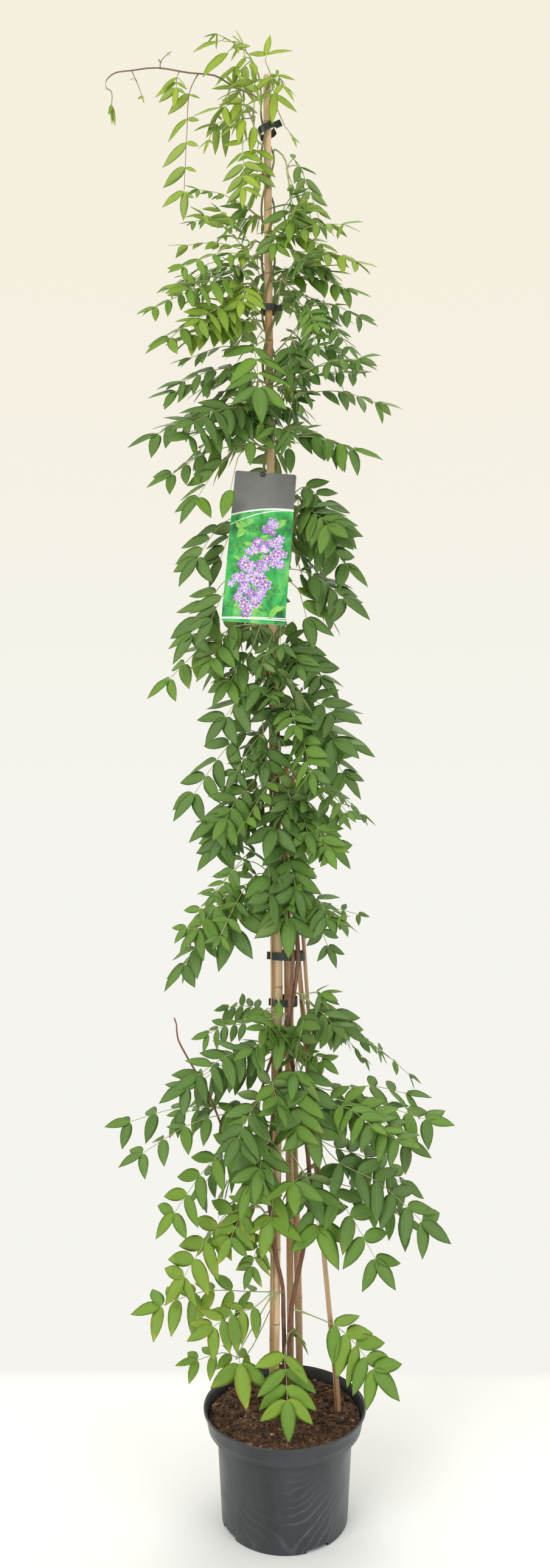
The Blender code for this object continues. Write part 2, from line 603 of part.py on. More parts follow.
def split_at(path, height):
    """The part of a rising path below a height and the part above it, with a fine gap between."""
    for index, point in enumerate(path):
        if point.z > height and index > 3:
            below = path[:index]
            above = path[index:]
            a = below[-1]
            cut = a.lerp(point, (height - a.z) / (point.z - a.z))
            ahead = (point - a).normalized()
            below = [p for p in below if (p - cut).length > 0.004]
            above = [p for p in above if (p - cut).length > 0.004]
            return below + [cut - ahead * GAP], [cut + ahead * GAP] + above
    return path, []


def add_vine(axes):
    """The woody stems as one body, and the two green stems that go on from them."""
    wood = []
    green = []
    for number, strand in enumerate((STRAND_MAIN, STRAND_SECOND)):
        start, end, spots = strand
        path = strand_path(spots, math.pi * (1.3 + number), axes)
        radii = radii_along(path, start, end * 0.75)
        path = clear_of_canes(path, radii, axes)
        below, above = split_at(path, WOOD_TOP)
        wood.append(tube(below, radii_along(below, start, end), STRAND_SIDES))
        shape = tube(above, radii_along(above, end * 0.96, end * 0.7), STRAND_SIDES)
        green.append(add_object(f"vine_green_{number + 1}", *shape, "green_stem"))
    for start, end, spots in (STRAND_LOOP, BARE_TWIG):
        path = curve_through([place(*spot) for spot in spots], 2)
        radii = radii_along(path, start, end)
        path = clear_of_canes(path, radii, axes)
        wood.append(tube(path, radii, STRAND_SIDES))
    bodies = [add_object("vine_wood", *shape, "bark") for shape in wood]
    bodies[0].name = "vine_wood"
    apply_boolean(bodies[0], bodies[1:], "UNION", "MANIFOLD")
    keep_one_body(bodies[0])
    for body in [bodies[0]] + green:
        smooth(body, 60)
    return bodies[0], green


def boxy(part):
    """Turns a circle's sine or cosine into that of a square with round corners."""
    return math.copysign(abs(part) ** STRAP_ROUND, part)


def band(centre, ahead, radius_x, radius_y, height, wall, opening, tab):
    """Points and faces of an open strap round an axis, with a flat tab at its end."""
    steps = 12
    hand = math.copysign(1.0, tab)
    side = ahead.cross(VIEW).normalized() * hand
    front = VIEW.copy()
    points = []
    faces = []
    lines = []
    for step in range(steps + 1):
        turn = opening / 2 + (2 * math.pi - opening) * step / steps
        out = side * boxy(math.cos(turn)) * radius_x + front * boxy(math.sin(turn)) * radius_y
        thick = out.normalized() * wall
        lines.append((centre + out, centre + out + thick))
    start_inner, start_outer = lines[0]
    lines.insert(0, (start_inner + side * abs(tab), start_outer + side * abs(tab)))
    for inner, outer in lines:
        points.extend((inner - ahead * height / 2, outer - ahead * height / 2,
                       outer + ahead * height / 2, inner + ahead * height / 2))
    for index in range(len(lines) - 1):
        a = 4 * index
        for corner in range(4):
            following = (corner + 1) % 4
            faces.append((a + corner, a + following, a + 4 + following, a + 4 + corner))
    faces.append((3, 2, 1, 0))
    last = 4 * (len(lines) - 1)
    faces.append((last, last + 1, last + 2, last + 3))
    return points, faces


STRAP_ROUND = 0.55
# Each strap: x, z, near of its centre in cm, half widths across and front to back, height, wall,
# how far its tab reaches (to the left if negative), and how much the strap slopes up to the right.
CLIPS = {
    "clip_top": ((-2.9, 229.4, 0), 0.0145, 0.0126, 0.0120, 0.0010, 0.012, 0.42),
    "clip_upper": ((-2.62, 197.7, 0), 0.0127, 0.0100, 0.0110, 0.0010, 0.010, 0.0),
    "clip_lower": ((0.6, 88.4, -0.67), 0.0275, 0.0281, 0.0125, 0.0010, -0.008, -0.03),
    "clip_low": ((0.0, 81.0, -0.9), 0.0205, 0.0342, 0.0115, 0.0010, -0.006, -0.02),
}


def add_clip(name):
    """A dark plastic strap that holds the stems to the canes, open at the back."""
    spot, wide, deep, height, wall, tab, slope = CLIPS[name]
    ahead = Vector((-math.sin(slope), 0, math.cos(slope)))
    shape = band(place(*spot), ahead, wide, deep, height, wall, 0.5, tab)
    return add_object(name, *shape, "clip_plastic")


def card_frame():
    """The centre of the card and its unit directions: across, up and out of its front."""
    top_left, top_right, low_right, low_left = [place(*spot) for spot in CARD_CORNERS]
    across = (top_right - top_left + low_right - low_left).normalized()
    rise = top_left + top_right - low_left - low_right
    rise = (rise - across * rise.dot(across)).normalized()
    centre = (top_left + top_right + low_left + low_right) / 4
    return centre, across, rise, across.cross(rise)


def add_label():
    """A plain plastic card with rounded corners and a hole for its peg."""
    centre, across, rise, out = card_frame()
    half_width = 0.050
    half_height = 0.128
    corner = 0.004
    outline = []
    for sign_x, sign_z, start in ((1, 1, 0), (-1, 1, 90), (-1, -1, 180), (1, -1, 270)):
        for angle in (start, start + 45, start + 90):
            turn = math.radians(angle)
            outline.append((sign_x * (half_width - corner) + corner * math.cos(turn),
                            sign_z * (half_height - corner) + corner * math.sin(turn)))
    points = []
    for depth in (-CARD_THICKNESS / 2, CARD_THICKNESS / 2):
        for x, z in outline:
            points.append(centre + across * x + rise * z + out * depth)
    count = len(outline)
    faces = [tuple(reversed(range(count))), tuple(range(count, 2 * count))]
    for index in range(count):
        following = (index + 1) % count
        faces.append((index, following, count + following, count + index))
    label = add_object("label", points, faces, "card")
    peg = peg_point(centre, out)
    hole = add_object("hole", *tube([peg - out * 0.01, peg + out * 0.01], [0.0032] * 2, 10), "card")
    apply_boolean(label, [hole], "DIFFERENCE", "EXACT")
    return label


def peg_point(centre, out):
    """Where the peg passes through the middle of the card."""
    peg = place(*PEG_PLACE)
    return peg - out * (peg - centre).dot(out)


def add_label_peg(axes):
    """The black peg: a round head on the card's front and a bent strap back to the tall cane."""
    centre, _, _, out = card_frame()
    peg = peg_point(centre, out)
    face = CARD_THICKNESS / 2 + GAP
    cane_radius, axis = axes[0]
    cane = point_at_height(axis, peg.z + 0.006)
    seat = cane + Vector((-0.003, -math.sqrt((cane_radius + GAP) ** 2 - 0.003 ** 2), 0))
    path = [peg + out * (face + 0.003), peg + out * (face + 0.0012), peg + out * face,
            peg + out * (face - 0.0002), peg - out * 0.006, peg.lerp(seat, 0.35) + UP * 0.004,
            peg.lerp(seat, 0.7) + UP * 0.004, seat]
    radii = [0.0025, 0.0042, 0.0046, 0.0024, 0.0022, 0.0020, 0.0020, 0.0022]
    return add_object("label_peg", *tube(path, radii, 8), "clip_plastic")


def add_tie():
    """The short teal tie, wound once round the old stems where they cross the canes."""
    points = [place(1.95, 97.4, 2.4), place(1.5, 97.9, 4.3), place(0.7, 98.8, 4.9),
              place(0.3, 100.4, 4.9), place(0.5, 102.6, 4.9)]
    path = curve_through(points, 2)
    return add_object("tie", *tube(path, [0.0013] * len(path), 5), "teal_tie")


def leaf_path(start, base, tip, length):
    """The arched line of a leaf's stalk and rib, from its root to where its end leaflet begins."""
    end = tip - (tip - base).normalized() * min(length, (tip - base).length * 0.8)
    middle = (base + end) / 2 + UP * RIB_ARCH * (end - base).length
    return curve_through([start, base, middle, end], PATH_STEPS)


def measure(path):
    """Length of a path from its start to each of its points."""
    lengths = [0.0]
    for a, b in zip(path, path[1:]):
        lengths.append(lengths[-1] + (b - a).length)
    return lengths


def walk(path, lengths, distance):
    """The point of a path at this distance from its start, and the direction there."""
    for index in range(1, len(path)):
        if distance <= lengths[index] or index == len(path) - 1:
            part = (distance - lengths[index - 1]) / (lengths[index] - lengths[index - 1])
            ahead = (path[index] - path[index - 1]).normalized()
            return path[index - 1].lerp(path[index], part), ahead
    return path[-1], UP


def leaf_normal(start, tip, near):
    """Which way a leaf's upper face looks: up, outward and, in front, toward EYE."""
    out = Vector((tip.x - start.x, tip.y - start.y, 0))
    if out.length > 0:
        out.normalize()
    if near < -1.5:
        return (UP * 0.7 + out * 0.3 + VIEW * 0.35).normalized()
    return (UP * 0.5 + out * 0.3 + VIEW * 0.75).normalized()


def leaf_plan(shoot_index, leaf_index, attempt, start, leaf):
    """The sizes and places of one leaf. Each attempt moves it a little along the line of sight."""
    base_x, base_z, tip_x, tip_z, near, pairs, length = leaf
    draw = random.Random(SEED + 10000 * shoot_index + 100 * leaf_index + attempt)
    reach = FIRST_MOVE + NEXT_MOVE * attempt
    shift = draw.uniform(-reach, reach) if attempt else 0.0
    lift = draw.uniform(-0.004, 0.004) * reach if attempt else 0.0
    tilt = draw.uniform(-0.1, 0.1) * reach if attempt else 0.0
    scale = 1.0 - SHRINK * (attempt // SHRINK_AFTER)
    root_near = 2.0 + 0.4 * (near + shift - 2.0)
    base = place(base_x, base_z, root_near)
    tip = place(tip_x, tip_z, near + shift)
    base.z += lift
    return base, tip, pairs, length * CM * scale, tilt


def rib_frames(path, lengths, distances, normal):
    """Centre, direction, side and top at each of these distances, turned as little as can be."""
    found = []
    for distance in reversed(distances):
        centre, ahead = walk(path, lengths, distance)
        if found:
            _, later, side, _ = found[-1]
            side = later.rotation_difference(ahead) @ side
        else:
            side = ahead.cross(normal).normalized()
        found.append((centre, ahead, side, side.cross(ahead)))
    return found[::-1]


def leaf_shape(start, base, tip, near, pairs, length, tilt, swell=0.0):
    """Points and faces of a compound leaf: stalk, rib and leaflets in one shell.

    A leaflet is a fan from the rib's upper and lower edge to an outline that starts and ends at the
    rib's side, so it is thick at the rib and thins to its margin.
    """
    path = leaf_path(start, base, tip, length)
    lengths = measure(path)
    begins = lengths[PATH_STEPS]
    ends = lengths[-1]
    normal = (leaf_normal(start, tip, near) + VIEW * tilt).normalized()
    stalk = [0.0, begins * 0.55] if begins > LONG_STALK else [0.0]
    spacing = (ends - begins) / max(pairs - 1, 1)
    blade = [begins + spacing * pair for pair in range(pairs)] if pairs > 1 else [ends]
    frames = rib_frames(path, lengths, stalk + blade, normal)
    points = []
    faces = []

    def add(point):
        points.append(point)
        return len(points) - 1

    def ring(frame, half_width, half_height, root_half):
        """Upper, lower, then left and right corners before and after a place on the rib."""
        centre, ahead, side, top = frame
        wide = side * (half_width + swell)
        upper = add(centre + top * (half_height + swell))
        lower = add(centre - top * (half_height + swell))
        left = add(centre - ahead * root_half - wide)
        right = add(centre - ahead * root_half + wide)
        if not root_half:
            return upper, lower, left, right, left, right
        front_left = add(centre + ahead * root_half - wide)
        front_right = add(centre + ahead * root_half + wide)
        return upper, lower, left, right, front_left, front_right

    def skin(one, two):
        """The rib from one ring's front corners to the next ring's back corners."""
        upper, lower, _, _, left, right = one
        next_upper, next_lower, next_left, next_right, _, _ = two
        faces.append((upper, left, next_left, next_upper))
        faces.append((left, lower, next_lower, next_left))
        faces.append((lower, right, next_right, next_lower))
        faces.append((right, upper, next_upper, next_right))

    def leaflet(upper, lower, first, last, root, along, across, reach, width):
        """A fan above and one below, from the rib to this leaflet's outline."""
        sag = UP * LEAFLET_SAG * reach
        numbers = [first]
        for part, half in ((LEAFLET_WIDEST, -0.5), (1.0, 0.0), (LEAFLET_WIDEST, 0.5)):
            grow = math.copysign(swell, half) if half else 0.0
            spot = root + along * (part * reach + (0.0 if half else swell))
            numbers.append(add(spot + across * (half * width + grow) - sag * part * part))
        numbers.append(last)
        for a, b in zip(numbers, numbers[1:]):
            faces.append((upper, a, b))
            faces.append((lower, b, a))

    previous = ring(frames[0], PETIOLE_RADIUS, PETIOLE_RADIUS, 0)
    faces.append((previous[0], previous[2], previous[1], previous[3]))
    for frame in frames[1:len(stalk)]:
        following = ring(frame, RIB_HALF_WIDTH, RIB_HALF_HEIGHT, 0)
        skin(previous, following)
        previous = following
    for pair, frame in enumerate(frames[len(stalk):]):
        centre, ahead, side, _ = frame
        following = ring(frame, RIB_HALF_WIDTH, RIB_HALF_HEIGHT, LEAFLET_ROOT if pairs else 0)
        skin(previous, following)
        previous = following
        if not pairs:
            continue
        upper, lower, left, right, front_left, front_right = following
        shrink = 1.0 - END_SHRINK * abs(2 * pair / max(pairs - 1, 1) - 1)
        reach = length * shrink
        width = min(LEAFLET_WIDTH * reach, spacing * LEAFLET_CROWD)
        droop = UP - ahead * ahead.z
        for sign, first, last in ((-1, left, front_left), (1, right, front_right)):
            along = (side * sign * 0.86 + ahead * 0.5 - droop * LEAFLET_DROOP).normalized()
            across = (ahead - along * ahead.dot(along)).normalized()
            root = centre + side * sign * RIB_HALF_WIDTH
            leaflet(upper, lower, first, last, root, along, across, reach, width)
    centre, _, side, _ = frames[-1]
    upper, lower, _, _, left, right = previous
    reach = (tip - centre).length
    along = (tip - centre).normalized()
    across = (side - along * side.dot(along)).normalized()
    leaflet(upper, lower, left, right, centre, along, across, reach, LEAFLET_WIDTH * min(reach, length))
    return points, faces


def seat_stem(spots, slide, vine_trees):
    """A side shoot's path, which starts a fine gap off the nearest stem of the vine."""
    points = [place(x, z + slide, near) if i < 1 else place(x, z, near)
              for i, (x, z, near) in enumerate(spots)]
    guide = points[0] + (points[1] - points[0]).normalized() * 0.018
    best = None
    for tree in vine_trees:
        spot, normal, _, distance = tree.find_nearest(guide)
        if best is None or distance < best[2]:
            best = (spot, normal, distance)
    seat, normal, _ = best
    out = (guide - seat).normalized()
    root = seat + normal * GAP * 1.3
    points = [root, root + (normal + out).normalized() * 0.006] + points[1:]
    return curve_through(points, 2 if len(points) < 5 else 1)


def shoot_stem(spots, slide, vine_trees):
    """Path, points and faces of a side shoot's stem."""
    path = seat_stem(spots, slide, vine_trees)
    radii = radii_along(path, STEM_RADIUS, STEM_RADIUS * (0.75 if len(spots) < 5 else 0.5))
    points, faces = tube(path, radii, STEM_SIDES)
    return path, points, faces


def nearest_on(path, target):
    """The point of a path, short of its ends, that is nearest to a target."""
    lengths = measure(path)
    first = min(0.008, lengths[-1] * 0.5)
    last = lengths[-1] - 0.002
    inner = [walk(path, lengths, first + (last - first) * i / 20)[0] for i in range(21)]
    return min(inner, key=lambda point: (point - target).length)


def hits(tree, others):
    return any(tree.overlap(other) for other in others)


def crosses_itself(tree, faces):
    """Whether two faces of a shell cross that share no corner."""
    for one, two in tree.overlap(tree):
        if one < two and not set(faces[one]) & set(faces[two]):
            return True
    return False


def blade_tree(points, faces, root):
    """The part of a leaf that lies well out from its root."""
    kept = [face for face in faces if (points[face[0]] - root).length > ROOT_ZONE]
    return tree_of(points, kept)


def slides():
    """Small moves of a side shoot's seat up and down the vine, nearest first."""
    found = [0.0]
    for step in range(1, 12):
        found.extend((step * 0.7, -step * 0.7))
    return found


def grow_shoots(fixed, vine_objects):
    """Every leafy side shoot as one node, its leaves turned until they clear what stands."""
    vine_trees = [tree_of_object(o) for o in vine_objects]
    standing = [tree_of_object(o) for o in fixed]
    stems = []
    stem_trees = []
    for name, _, spots, _ in SHOOTS:
        chosen = None
        for slide in slides():
            path, points, faces = shoot_stem(spots, slide, vine_trees)
            tree = tree_of(points, faces)
            if not hits(tree, standing + vine_trees + stem_trees):
                chosen = (path, points, faces)
                break
        if chosen is None:
            raise RuntimeError(f"no free seat for {name}")
        stems.append(chosen)
        stem_trees.append(tree_of(chosen[1], chosen[2]))
    placed = []
    for shoot_index, (name, tone, spots, leaves) in enumerate(SHOOTS):
        path, points, faces = stems[shoot_index]
        others = standing + vine_trees + stem_trees[:shoot_index] + stem_trees[shoot_index + 1:]
        others += [tree for owner, tree in placed if owner != shoot_index]
        shapes = [(points, faces)]
        own = []
        for leaf_index, leaf in enumerate(leaves):
            found = None
            for attempt in range(TRIES):
                root = nearest_on(path, place(leaf[0], leaf[1], 2))
                plan = leaf_plan(shoot_index, leaf_index, attempt, root, leaf)
                base, tip, pairs, length, tilt = plan
                near = leaf[4]
                swollen = leaf_shape(root, base, tip, near, pairs, length, tilt, CLEARANCE)
                tree = tree_of(swollen[0], swollen[1])
                blade = blade_tree(swollen[0], swollen[1], root)
                if hits(tree, others) or hits(blade, [other for _, other in own]):
                    continue
                body = leaf_shape(root, base, tip, near, pairs, length, tilt)
                if crosses_itself(tree_of(body[0], body[1]), body[1]):
                    continue
                found = body
                own.append((tree, blade))
                break
            if found is None:
                raise RuntimeError(f"no room for leaf {leaf_index} of {name}")
            shapes.append(found)
        placed.extend((shoot_index, tree) for tree, _ in own)
        bodies = [add_object(name, *shape, "leaf_" + tone) for shape in shapes]
        if len(bodies) > 1:
            apply_boolean(bodies[0], bodies[1:], "UNION", "MANIFOLD")
            keep_one_body(bodies[0])


def main():
    for old in list(bpy.data.objects):
        bpy.data.objects.remove(old)
    axes = [cane_axis(name) for name in CANES]
    canes = [add_cane(name) for name in CANES]
    pot = add_pot()
    holes = []
    for radius, axis in axes:
        lower = [p for p in axis if p.z < 0.10][::2] + [point_at_height(axis, 0.135)]
        path = [lower[0] - UP * 0.0004] + lower[1:] + [point_at_height(axis, 0.168)]
        holes.append((path, [radius * SOIL_HOLE] * len(path)))
    crown = [place(0.3, 13.6, -0.9), place(0.35, 20, -0.7)]
    holes.append((crown, [0.0095, 0.0095]))
    soil = add_soil(holes)
    wood, green = add_vine(axes)
    clips = [add_clip(name) for name in CLIPS]
    label = add_label()
    peg = add_label_peg(axes)
    tie = add_tie()
    grow_shoots(canes + [pot, soil, label, peg, tie] + clips, [wood] + green)


main()
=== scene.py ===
"""Looks of a potted wisteria that climbs five bamboo canes.

Metres, +Z up, the pot's axis on the Z axis and its foot at z = 0, seen along +Y. Stems and leaves
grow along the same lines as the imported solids, which the finished pieces stand for.
"""
import math
import random

import bmesh
import bpy
from bpy.props import FloatProperty, FloatVectorProperty, IntProperty, PointerProperty
from mathutils import Matrix, Vector, noise
from mathutils.bvhtree import BVHTree
from mathutils.kdtree import KDTree


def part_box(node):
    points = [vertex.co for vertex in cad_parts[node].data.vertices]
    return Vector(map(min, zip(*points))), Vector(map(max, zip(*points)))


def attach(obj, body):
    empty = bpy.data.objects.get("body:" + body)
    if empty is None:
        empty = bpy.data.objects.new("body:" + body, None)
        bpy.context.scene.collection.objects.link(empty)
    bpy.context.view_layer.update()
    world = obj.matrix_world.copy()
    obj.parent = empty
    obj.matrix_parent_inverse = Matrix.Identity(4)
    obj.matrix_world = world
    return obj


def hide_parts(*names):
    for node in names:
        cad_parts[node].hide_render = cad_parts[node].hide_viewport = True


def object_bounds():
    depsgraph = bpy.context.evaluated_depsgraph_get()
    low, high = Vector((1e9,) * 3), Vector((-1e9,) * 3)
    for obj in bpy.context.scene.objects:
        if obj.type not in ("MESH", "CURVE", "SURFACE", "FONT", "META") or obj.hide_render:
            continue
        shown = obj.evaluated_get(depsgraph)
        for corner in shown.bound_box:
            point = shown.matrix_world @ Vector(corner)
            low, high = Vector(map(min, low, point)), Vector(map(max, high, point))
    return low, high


bl_info = {
    "name": "Potted Wisteria",
    "version": (1, 0, 0),
    "blender": (4, 5, 0),
    "location": "View3D > Sidebar > Wisteria",
    "description": "Makes the finished pieces of a potted wisteria round its packed solids",
    "category": "Add Mesh",
}

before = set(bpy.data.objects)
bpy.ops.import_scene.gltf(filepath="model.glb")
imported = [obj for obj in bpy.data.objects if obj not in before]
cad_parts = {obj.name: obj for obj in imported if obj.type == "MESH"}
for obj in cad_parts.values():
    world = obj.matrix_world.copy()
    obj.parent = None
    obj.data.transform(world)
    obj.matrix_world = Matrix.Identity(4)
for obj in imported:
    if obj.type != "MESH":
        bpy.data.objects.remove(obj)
CAD_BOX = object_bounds()

CM = 0.01
GAP = 0.0003
SEED = 20
EYE = Vector((-0.0156, -1.733, 1.063))
UP = Vector((0, 0, 1))
VIEW = Vector((0, -1, 0))

# The same values as in the solids: the pot, the soil and the canes.
POT_HEIGHT = 0.170
POT_RIM = 0.130
POT_FOOT = 0.100
POT_BODY_TOP = 0.1085
POT_WALL = 0.002
FOOT_HEIGHT = 0.0055
FLOOR_TOP = FOOT_HEIGHT + POT_WALL
NOTCH_ANGLES = (29.5, 119.5, 209.5, 299.5)
NOTCH_WIDTH = 0.038
SOIL_TOP = 0.156
SOIL_MOUND = 0.003
CANE_NODE_STEP = 0.27
# Each cane: its radius and points x, y, z along its axis, in cm, from its foot in the soil.
CANES = {
    "cane_1": (0.0070, ((-1.65, -1.2, 1.2), (-1.25, -1.2, 35), (-0.95, -1.2, 88), (-2.3, 0, 170),
                        (-2.65, 0, 200), (-2.95, 0, 239.2))),
    "cane_2": (0.0062, ((-2.15, 0.7, 1.2), (-1.95, 0.7, 35), (-1.2, 0.75, 88), (-1.4, 1.0, 120))),
    "cane_3": (0.0062, ((1.05, 8.7, 1.2), (1.15, 8.4, 30), (0.35, 0.8, 90), (0.1, 1.3, 119))),
    "cane_4": (0.0062, ((2.65, 8.6, 1.2), (2.6, 8.7, 30), (0.7, 2.4, 90), (0.3, 3.0, 121))),
    "cane_5": (0.0062, ((9.0, 0.2, 1.2), (8.6, 0.2, 17), (6.5, 0.2, 39), (2.3, 0.1, 88),
                        (1.6, -0.6, 104), (1.3, -0.8, 118))),
}

WOOD_TOP = 1.37
WIND_PITCH = 0.18
WIND_TOP = 2.35
WIND_STEPS = 7
# Old stems: radius at foot and top, then points x, z, near in cm.
STRAND_MAIN = (0.0040, 0.0026, (
    (0.5, 14.2, -0.6), (0.6, 20, -0.5), (0.9, 30, 0.6), (1.9, 36, 1.5), (3.4, 43, 2.0),
    (4.1, 49, 2.2), (3.8, 56, 2.4), (2.7, 64, 2.6), (1.2, 71, 2.8), (0.6, 76, 3.2), (1.7, 83, 3.2),
    (2.2, 89, 3.0), (1.4, 96, 3.2), (0.4, 102, 3.2), (-1.2, 108, 3.2), (-0.6, 114, 3.2),
    (-1.6, 120, 3.2), (-1.0, 126, 3.0)))
STRAND_SECOND = (0.0036, 0.0024, (
    (0.1, 14.2, -1.2), (-0.1, 22, -0.8), (-0.2, 31, 0.4), (-1.4, 40, 2.8), (-2.6, 50, 2.8),
    (-2.4, 58, 2.8), (-1.4, 66, 2.8), (0.2, 75, 3.6), (1.0, 82, 3.6), (1.4, 88, 3.4),
    (0.6, 95, 2.6), (-0.6, 101, 2.6), (-2.6, 107, 2.0), (-3.6, 113, -0.6), (-2.8, 119, -2.6),
    (-1.2, 125, -2.4)))
STRAND_LOOP = (0.0026, 0.0018, (
    (-2.6, 50.5, 2.8), (-4.6, 56, 3.2), (-5.8, 60.5, 3.2), (-3.8, 66.5, 3.2), (-2.2, 71.5, 3.4),
    (-0.4, 76, 3.4), (0.6, 79.0, 3.6)))
BARE_TWIG = (0.0022, 0.0011, (
    (-2.6, 51.5, 2.8), (-5.5, 54, 3.4), (-8.3, 56.6, 3.4), (-9.9, 59.8, 3.2), (-12.3, 65.8, 3.0),
    (-14.7, 69.8, 3.0), (-17.3, 74.4, 3.0), (-17.7, 77, 3.0), (-18.1, 78.2, 3.0)))

CARD_THICKNESS = 0.0008
CARD_CORNERS = ((-8.5, 169.9, 6), (1.85, 169.2, 6), (0.5, 142.9, 12), (-10.5, 143.8, 12))
PEG_PLACE = (-3.6, 168.9, 6.0)

STRAP_ROUND = 0.55
# Each strap: x, z, near of its centre in cm, half widths across and front to back, height, wall,
# how far its tab reaches (to the left if negative), and how much the strap slopes up to the right.
CLIPS = {
    "clip_top": ((-2.9, 229.4, 0), 0.0145, 0.0126, 0.0120, 0.0010, 0.012, 0.42),
    "clip_upper": ((-2.62, 197.7, 0), 0.0127, 0.0100, 0.0110, 0.0010, 0.010, 0.0),
    "clip_lower": ((0.6, 88.4, -0.67), 0.0275, 0.0281, 0.0125, 0.0010, -0.008, -0.03),
    "clip_low": ((0.0, 81.0, -0.9), 0.0205, 0.0342, 0.0115, 0.0010, -0.006, -0.02),
}

# The same values as in the solids: the leaves, and how each is moved until it has room.
PETIOLE_RADIUS = 0.0011
RIB_HALF_WIDTH = 0.0008
LEAFLET_SAG = 0.10
LEAFLET_DROOP = 0.30
END_SHRINK = 0.12
RIB_ARCH = 0.08
PATH_STEPS = 6
STEM_RADIUS = 0.0018
TRIES = 70
FIRST_MOVE = 0.25
NEXT_MOVE = 0.09
SHRINK = 0.12
SHRINK_AFTER = 20

# The finished pieces: the peat's top, crumbs and fibres.
PEAT_EDGE = 0.1206
PEAT_SINKS = 0.112
PEAT_RINGS = 44
PEAT_SEGMENTS = 132
CRUMB_REACH = 0.116
FIBRE_REACH = 0.112
FIBRE_LIMIT = 0.117
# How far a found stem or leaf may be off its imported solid.
STEM_OFF = 0.0012
LEAF_OFF = 0.0008
# Further leaves: tries for each, and the room that ribs and leaflets leave round them.
MORE_TRIES = 14
RIB_ROOM = 0.006
LEAFLET_ROOM = 0.012
WALL_ROOM = 0.009
BOX_ROOM = 0.004
# Straps, tie, card and floor.
STRAP_STEPS = 64
STRAP_OPENING = 0.5
GRIP_RIBS = 5
TIE_RADIUS = 0.0013
TIE_SPOTS = ((1.95, 97.4, 2.4), (1.5, 97.9, 4.3), (0.7, 98.8, 4.9), (0.3, 100.4, 4.9),
             (0.5, 102.6, 4.9))
CARD_HALF_WIDTH = 0.050
CARD_HALF_HEIGHT = 0.134
CARD_ROUND = 0.004
PRINTED_LEAVES = 46
FLOOR_RADIUS = 7.0
# How far behind the pot the cloth gives way to the backdrop.
BACKDROP_STARTS = (0.40, 0.46)

